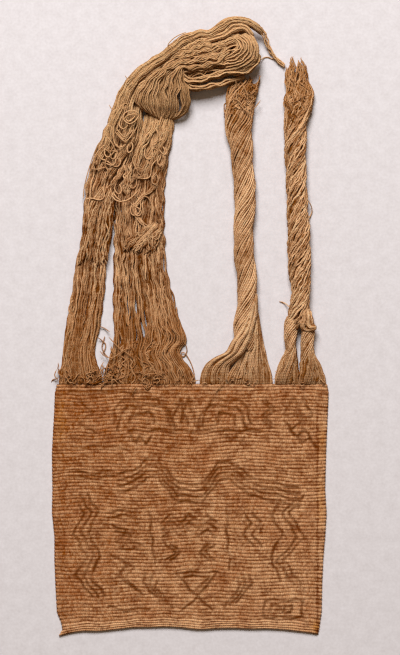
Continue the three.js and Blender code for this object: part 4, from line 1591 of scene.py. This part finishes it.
# Columns: down, left edge and right edge across.
CLOTH_EDGES = np.array([
    (384, 57.0, 327.0),
    (392, 55.0, 328.5),
    (416, 54.0, 327.5),
    (452, 52.0, 326.0),
    (488, 52.5, 325.0),
    (512, 52.0, 326.5),
    (536, 54.5, 325.0),
    (560, 54.5, 323.0),
    (584, 55.5, 322.0),
    (608, 57.0, 321.5),
    (618, 61.6, 319.9),
    (623, 62.4, 319.2),
    (628, 58.6, 318.0),
])

rib_rng = np.random.default_rng(77)
plain = rib_rng.uniform(0.86, 1.14, PLAIN_RIBS)
plain *= (CLOTH_BOTTOM - CLOTH_TOP - sum(HEADING_RIBS) - sum(FOOT_RIBS)) / plain.sum()
RIB_WIDTHS = np.concatenate([HEADING_RIBS, plain, FOOT_RIBS])
RIB_STARTS = CLOTH_TOP + np.concatenate([[0.0], np.cumsum(RIB_WIDTHS)])
print("ribs:", len(RIB_WIDTHS), "mean width:", round(float(RIB_WIDTHS.mean() * STEP / MM), 2), "mm")

# %% [markdown]
# `cloth_places` works out the grid. Each rib rises as a half wave, scallops the side edges a little,
# bends in its own way and is uneven along its length. Slow waves move whole groups of ribs, and are
# kept small at the top, where the cloth is straight.

# %% The panel's grid
CORNER_SAG = 8.0
CREST_SHAPE = 0.75
EDGE_REACH = 0.008
EDGE_SCALLOP = 0.7
RIB_BEND = 0.32
CALM_SHARE = 0.05


def cloth_places(columns):
    """Places on the sheet, rib heights, shares across and shares down of a panel's grid."""
    rng = np.random.default_rng(78)
    count = len(RIB_WIDTHS)
    rib = np.append(np.repeat(np.arange(count), ROWS_TO_A_RIB), count - 1)
    part = np.append(np.tile(np.arange(ROWS_TO_A_RIB) / ROWS_TO_A_RIB, count), 1.0)
    down = (RIB_STARTS[rib] + part * RIB_WIDTHS[rib])[:, None]
    share = np.linspace(0, 1, columns)[None, :]
    fall = (down - CLOTH_TOP) / (CLOTH_BOTTOM - CLOTH_TOP)
    left = np.interp(down, CLOTH_EDGES[:, 0], CLOTH_EDGES[:, 1])
    right = np.interp(down, CLOTH_EDGES[:, 0], CLOTH_EDGES[:, 2])
    crest = np.sin(np.pi * part)[:, None] ** CREST_SHAPE
    edge = np.clip(1 - np.minimum(share, 1 - share) / EDGE_REACH, 0, 1) * np.sign(share - 0.5)
    across = left + (right - left) * share + edge * EDGE_SCALLOP * (crest - 0.6)
    waver = rng.normal(0, 1, (3, count + 1))
    bend = np.zeros_like(across)
    for number, wave in enumerate((2.7, 5.3, 10.1)):
        size = np.convolve(waver[number], np.ones(3) / 3, "same")
        size = np.interp(rib + part, np.arange(count + 1), size)[:, None]
        bend += RIB_BEND * size * np.sin(TURN * (wave * share + 0.37 * number))
    slow = 0.9 * np.sin(TURN * (1.9 * share + 0.9 * fall + 0.1))
    slow = slow + 0.6 * np.sin(TURN * (3.1 * share - 1.4 * fall))
    calm = np.clip(fall / CALM_SHARE, 0.25, 1)
    sag = CORNER_SAG * fall ** 6 * np.abs(2 * share - 1) ** 5
    starts = rng.random((2, count))[:, rib, None]
    uneven = 1 + 0.16 * np.sin(TURN * (7.3 * share + starts[0]))
    uneven = uneven + 0.14 * np.sin(TURN * (15.7 * share + starts[1]))
    share = np.broadcast_to(share, across.shape)
    return across, down + calm * (bend + slow) + sag, crest * uneven, share, fall + 0 * share


def panel_piece(name, finish, across, down, height, facing, thickness, fields):
    """A panel's grid of points as a piece of cloth; facing is 1 for up and -1 for down."""
    rows, columns = across.shape
    number = np.arange(rows * columns).reshape(rows, columns)
    corners = [number[1:, :-1], number[1:, 1:], number[:-1, 1:], number[:-1, :-1]]
    quads = np.stack(corners[::facing], axis=-1).reshape(-1, 4)
    share = np.broadcast_to(np.linspace(0, 1, columns), (rows, columns)).ravel()
    ribs = np.broadcast_to(np.arange(rows)[:, None] / ROWS_TO_A_RIB, (rows, columns)).ravel()
    uv = np.stack([share[quads], ribs[quads]], axis=-1)
    points = place(across, down, height).reshape(-1, 3)
    mesh = fill_mesh(name, points, quads.ravel(), np.full(len(quads), 4), uv)
    for field, values in fields.items():
        set_field(mesh, field, values)
    piece = add_piece(name, mesh, finish)
    cloth = piece.modifiers.new("thickness", "SOLIDIFY")
    cloth.thickness = thickness * MM
    cloth.offset = -1.0
    print(name, "points:", len(points), "faces:", len(quads))
    return piece


print("rows of points:", len(RIB_WIDTHS) * ROWS_TO_A_RIB + 1)

# %% [markdown]
# Faded brown lines are painted on the cloth: traditional geometric bands, charted here as a few
# broken lines each, with their double and triple lines made by shifting one line. The paint is a
# value at each point of the grid, from the distance to the nearest line, and the finish breaks it up
# so it looks worn. The bare cloth close beside a line is a little lighter.

# %% Painted lines
LINE_WIDTH = 1.3
LINE_BODY = 1.4
BESIDE = 3.2
LINE_SWAY = 0.9
FAR_OFF = 99.0

# Each row: how many lines, the shift to the next, and the first line's places across and down.
LINE_CHART = [
    (1, (0, 0), [(70, 392), (110, 391), (150, 393)]),
    (2, (5, 6), [(113, 424), (115, 409), (123, 400), (158, 398), (166, 409), (170, 425)]),
    (1, (0, 0), [(130, 423), (132, 414), (150, 412), (155, 423)]),
    (2, (8, 0), [(172, 424), (180, 398), (188, 424)]),
    (1, (0, 0), [(174, 404), (192, 402)]),
    (2, (-5, 6), [(250, 424), (248, 410), (241, 401), (213, 399), (205, 409), (203, 426)]),
    (1, (0, 0), [(236, 424), (234, 414), (220, 413), (216, 424)]),
    (2, (0, 4), [(262, 398), (274, 406), (262, 416), (272, 424)]),
    (2, (10, 2), [(284, 414), (293, 396), (302, 414), (286, 415)]),
    (3, (5, 7), [(284, 420), (292, 430), (300, 422), (306, 432)]),
    (1, (0, 0), [(80, 400), (92, 412), (80, 424), (94, 432)]),
    (1, (0, 0), [(128, 431), (160, 430), (200, 431), (262, 430)]),
    (2, (9, 1), [(131, 435), (136, 443), (141, 435)]),
    (2, (9, 1), [(226, 435), (231, 443), (236, 435)]),
    (1, (0, 0), [(72, 447), (110, 446), (126, 449)]),
    (4, (0, 6), [(118, 473), (132, 471), (147, 459), (158, 460), (178, 483), (203, 484), (217, 463),
                 (229, 460), (250, 477), (300, 488)]),
    (2, (0, 5), [(70, 470), (92, 474), (114, 470)]),
    (2, (-7, 1), [(303, 496), (289, 512), (304, 536), (284, 560), (301, 584)]),
    (1, (0, 0), [(281, 500), (271, 514), (283, 534), (270, 556), (281, 580)]),
    (3, (7, 0), [(73, 494), (84, 512), (74, 533), (87, 556), (76, 576), (92, 596)]),
    (2, (0, 5), [(108, 512), (126, 510), (140, 513)]),
    (1, (0, 0), [(150, 512), (151, 534), (155, 562)]),
    (1, (0, 0), [(227, 508), (227, 536), (230, 568)]),
    (2, (5, 6), [(112, 524), (126, 530), (116, 542), (142, 544)]),
    (2, (6, 2), [(112, 556), (128, 564), (118, 576), (136, 590)]),
    (3, (0, 7), [(162, 522), (171, 514), (180, 522), (189, 514), (198, 522), (207, 514), (216, 522)]),
    (2, (5, 0), [(166, 544), (176, 552), (166, 560)]),
    (2, (-5, 0), [(214, 544), (204, 552), (214, 560)]),
    (1, (0, 0), [(176, 572), (218, 572), (197, 596), (176, 572)]),
    (1, (0, 0), [(184, 576), (210, 576), (197, 590)]),
    (1, (0, 0), [(182, 610), (197, 596), (212, 610)]),
    (3, (6, 2), [(146, 574), (143, 582), (160, 602)]),
    (3, (-6, 2), [(250, 574), (252, 582), (236, 602)]),
    (2, (9, 0), [(244, 512), (251, 522), (243, 534), (253, 546)]),
    (1, (0, 0), [(264, 600), (302, 600), (302, 617), (264, 617), (264, 600)]),
    (2, (12, 0), [(270, 612), (272, 605), (279, 605), (279, 611), (275, 611)]),
    (1, (0, 0), [(108, 606), (124, 610), (150, 608)]),
]


def painted(across, down):
    """How much paint lies at each place, and how much bare cloth beside it, from 0 to 1."""
    sway = LINE_SWAY * np.sin(0.31 * down + 0.17 * across)
    dip = LINE_SWAY * np.sin(0.27 * across - 0.11 * down)
    spots = np.stack([across + sway, down + dip], axis=-1)
    nearest = np.full(across.shape, FAR_OFF)
    for copies, shift, line in LINE_CHART:
        for copy in range(copies):
            places = np.array(line, dtype=float) + copy * np.array(shift)
            for start, run in zip(places[:-1], np.diff(places, axis=0)):
                share = np.clip((spots - start) @ run / (run @ run), 0, 1)
                apart = np.linalg.norm(spots - start - share[..., None] * run, axis=-1)
                nearest = np.minimum(nearest, apart)
    beside = np.exp(-((nearest - BESIDE) / LINE_WIDTH) ** 2)
    return np.clip(LINE_BODY - nearest / LINE_WIDTH, 0, 1), beside


print("charted lines:", sum(copies for copies, _, _ in LINE_CHART))

# %% [markdown]
# The cloth's finish is also a group, since front and back share it. Noise mottles the base colour
# from dark to light, in blotches, in streaks down the warps and in short bands along the ribs, and
# the lower right is lighter. Rust stains, golden places and paint come in over that. Painted shade
# darkens the cloth between the beads of the warps along every rib, and in the furrows between ribs,
# where noise breaks it up. The mesh says where the cloth is fresh, golden or painted, and how high
# the rib stands, which sets the furrow shade.

# %% The ribbed cloth group
WARPS = 124.0
RIB_SHIFT = 0.618
STREAK_STRETCH = (1.0, 0.05, 1.0)
BAND_STRETCH = (0.1, 1.0, 1.0)
BETWEEN_BEADS = 0.18

cloth_inputs = [(name, COLOUR) for name in ("Dark", "Light", "Rust", "Paint", "Furrow", "Gold")]
weave_group, given, out = new_group("Ribbed cloth", cloth_inputs)
calc, total, grain, ranged, blend = tools(weave_group)
spot = object_spot(weave_group)
uv = uv_parts(weave_group)
rib = calc("FLOOR", uv["Y"])
warp = total([(RIB_SHIFT, rib)], calc("MULTIPLY", uv["X"], WARPS))
bead = total([(0.5, calc("SINE", calc("MULTIPLY", warp, TURN)))], 0.5)
cell = add_node(weave_group, "ShaderNodeCombineXYZ", {"X": calc("FLOOR", warp), "Y": rib}).outputs[0]
speck = add_node(weave_group, "ShaderNodeTexWhiteNoise", {"Vector": cell}).outputs["Value"]
long_spot, wide_spot = [
    add_node(weave_group, "ShaderNodeMapping", {"Vector": spot, "Scale": stretch}).outputs[0]
    for stretch in (STREAK_STRETCH, BAND_STRETCH)
]
way = parts(weave_group, spot)
mottle = total([
    (0.4, grain(spot, 24.0, 3.0)),
    (0.4, grain(spot, 150.0)),
    (0.4, grain(long_spot, 150.0)),
    (0.45, speck),
    (0.5, grain(wide_spot, 330.0, 1.0)),
    (1.3, grain(spot, 900.0, 1.0)),
    (1.2, calc("SUBTRACT", way["X"], way["Y"])),
])
pale = calc("ADD", ranged(mottle, 1.31, 2.51), attribute(weave_group, "fresh"), clamp=True)
colour = blend(pale, given["Dark"], given["Light"])
colour = blend(ranged(grain(spot, 34.0, 4.0), 0.48, 0.7, 0.0, 0.3), colour, given["Rust"])
colour = blend(attribute(weave_group, "gold"), colour, given["Gold"])
worn = ranged(grain(spot, 70.0, 3.0), 0.32, 0.62, 0.3, 1.0)
colour = blend(calc("MULTIPLY", attribute(weave_group, "paint"), worn), colour, given["Paint"])
# Painted shade between the beads of the warps, in the furrow colour.
between = calc("MULTIPLY", calc("SUBTRACT", 1.0, bead), BETWEEN_BEADS)
colour = blend(between, colour, given["Furrow"])
# Painted shade in the furrows between ribs, broken up by noise.
furrow_shade_noise = [(1.3, grain(spot, 420.0, 1.0)), (1.0, grain(spot, 75.0))]
furrow = ranged(total(furrow_shade_noise, attribute(weave_group, "rib")), 1.05, 2.0, 0.95, 0.0)
colour = blend(furrow, colour, given["Furrow"])
weave_group.links.new(colour, out["Colour"])
weave_group.links.new(bead, out["Height"])

BEAD_BUMP = 0.3
# The fifth colour of each panel is the painted shade of the furrows and of the gaps between beads.
front_values = [paint(152, 81, 15), paint(240, 188, 138), paint(162, 80, 22), paint(102, 55, 12),
                paint(112, 50, 0), paint(206, 134, 40)]
back_values = [paint(142, 82, 26), paint(220, 172, 124), paint(154, 80, 28), paint(102, 56, 14),
               paint(110, 52, 2), paint(196, 126, 40)]
front_cloth = cotton("front_cloth", weave_group, front_values, BEAD_BUMP)
back_cloth = cotton("back_cloth", weave_group, back_values, BEAD_BUMP)
print("finishes:", front_cloth.name, back_cloth.name)

# %% [markdown]
# The front is the fine panel. It lies on the back one, ripples a little, and droops at its sides and
# lower edge. It has the paint, a furrow beside the right edge's strip and one worn hole, both darkened
# with painted shade, a few golden places, and the edges that were worked last are lighter.

# %% Front panel
FRONT_COLUMNS = 164
CLOTH_THICKNESS = 1.2
LAYER_GAP = 0.3
FRONT_RIPPLE = 0.7
EDGE_DROOP = 1.25
RIB_HEIGHT = 0.5
RIB_MIDDLE = 0.55
FRONT_DEPTH = 1.0
STRIP_ACROSS = 317.5
STRIP_START = 0.1
STRIP_FADE = 0.05
STRIP_SOFT = 1.5
GROOVE_WIDTH = 1.1
GROOVE_DEPTH = 0.4
# Painted shade in the groove beside the strip.
GROOVE_SHADE = 0.7
HOLE = (261.0, 531.0)
HOLE_TALL = 1.7
HOLE_SIZE = 2.4
HOLE_DEPTH = 0.9
# Painted shade in the worn hole, through the rib value and the paint colour.
HOLE_SHADE = 1.4
HOLE_DARK = 1.3
CREST_POWER = 1.5
TOP_FRESH = 0.2
FOOT_FRESH = 0.35
STRIP_FRESH = 0.2
BESIDE_FRESH = 0.16

# Columns: across, down, reach across, reach down, strength.
GOLD_SPOTS = [
    (322.0, 440.0, 3.5, 16.0, 0.42),
    (321.0, 500.0, 3.5, 26.0, 0.35),
    (316.5, 627.0, 5.0, 6.0, 0.8),
    (60.0, 420.0, 5.0, 24.0, 0.3),
]


def front_lift(share, fall):
    """Height of the front panel's top side in mm, as on its solid."""
    inside = np.sin(np.pi * share) * np.sin(np.pi * np.minimum(1, 0.05 + 0.9 * fall))
    wave = 1 + np.sin(7 * share + 4 * fall) * np.cos(9 * fall - 3 * share)
    rim = np.minimum(np.minimum(share, 1 - share) / 0.02, (1 - fall) / 0.03 + 0.35)
    droop = EDGE_DROOP * np.clip(1 - rim, 0, 1) ** 2
    return 2 * CLOTH_THICKNESS + LAYER_GAP + FRONT_RIPPLE * inside * wave - droop


across, down, crest, share, fall = cloth_places(FRONT_COLUMNS)
below_top = np.clip((fall - STRIP_START) / STRIP_FADE, 0, 1)
groove = np.exp(-((across - STRIP_ACROSS) / GROOVE_WIDTH) ** 2) * below_top
hole = np.exp(-((across - HOLE[0]) ** 2 + ((down - HOLE[1]) / HOLE_TALL) ** 2) / HOLE_SIZE)
height = front_lift(share, fall) + RIB_HEIGHT * (crest - RIB_MIDDLE)
height = height - GROOVE_DEPTH * groove - HOLE_DEPTH * hole
sheet_down = CLOTH_TOP + fall * (CLOTH_BOTTOM - CLOTH_TOP)
in_heading = sheet_down < RIB_STARTS[len(HEADING_RIBS)]
in_foot = sheet_down > RIB_STARTS[-1 - len(FOOT_RIBS)]
in_strip = np.clip((across - STRIP_ACROSS) / STRIP_SOFT, 0, 1) * below_top
worked_edge = in_heading * TOP_FRESH + in_foot * FOOT_FRESH + STRIP_FRESH * in_strip
line, beside = painted(across, down)
golden = np.zeros_like(across)
for east, south, wide, tall, strength in GOLD_SPOTS:
    golden += strength * np.exp(-((across - east) / wide) ** 2 - ((down - south) / tall) ** 2)
# Painted shade in the recesses: the groove and the hole lower the rib value, and the hole takes the
# paint colour.
fields = {
    "rib": crest ** CREST_POWER - GROOVE_SHADE * groove - HOLE_SHADE * hole,
    "paint": np.maximum(line, HOLE_DARK * hole),
    "fresh": worked_edge + BESIDE_FRESH * beside,
    "gold": np.clip(golden, 0, 1),
}
front = panel_piece("front_panel_cloth", front_cloth, across, down, height, 1, FRONT_DEPTH, fields)

# %% [markdown]
# The back is a plain panel of the same cloth on a coarser grid, since nobody sees it until the bag is
# turned over. It faces down, lies on the floor, and is drawn in a little at the sides so that it
# doesn't show beside the front.

# %% Back panel
BACK_COLUMNS = 48
BACK_INSET = 2.6
BACK_GAP = 0.03
BACK_RIB = 0.25
HIGHEST_CREST = 1.35
BACK_DEPTH = 0.7

across, down, crest, share, _ = cloth_places(BACK_COLUMNS)
across = across - BACK_INSET * (2 * share - 1)
height = BACK_GAP + BACK_RIB * (HIGHEST_CREST - crest)
bare = np.zeros_like(crest)
fields = {"rib": crest, "paint": bare, "fresh": bare, "gold": bare}
back = panel_piece("back_panel_cloth", back_cloth, across, down, height, -1, BACK_DEPTH, fields)

# %% [markdown]
# Each piece rides on the one body and stands for its solid, which is hidden. Loose yarn stands
# for no solid of its own, and rides on the same body.

# %% Attach to the body
STANDS_FOR = [
    (front, "front_panel", "cloth_front"),
    (back, "back_panel", "cloth_back"),
    (hank_outer, "hank_outer", "yarn_brown"),
    (hank_inner, "hank_inner", "yarn_brown"),
    (skein, "strap_skein", "yarn_brown"),
    (lobe, "skein_lobe", "yarn_brown"),
    (tie, "tie_yarns", "yarn_brown"),
    (foot, "rope_inner_foot", "yarn_tan"),
    (rope_inner, "rope_inner", "yarn_tan"),
    (legs[0], "rope_outer_leg_left", "yarn_tan"),
    (legs[1], "rope_outer_leg_right", "yarn_tan"),
    (rope_outer, "rope_outer", "yarn_tan"),
]
LOOSE_YARN = [
    (brushes, "yarn_tan"),
    (hank_locks, "yarn_brown"),
    (hank_curls, "yarn_brown"),
    (warp_roots, "yarn_brown"),
    (tan_roots, "yarn_tan"),
    (brown_threads, "yarn_brown"),
    (tan_threads, "yarn_tan"),
]
for piece, node_name, slot_name in STANDS_FOR:
    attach(piece, "root")
    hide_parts(node_name)
for piece, slot_name in LOOSE_YARN:
    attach(piece, "root")
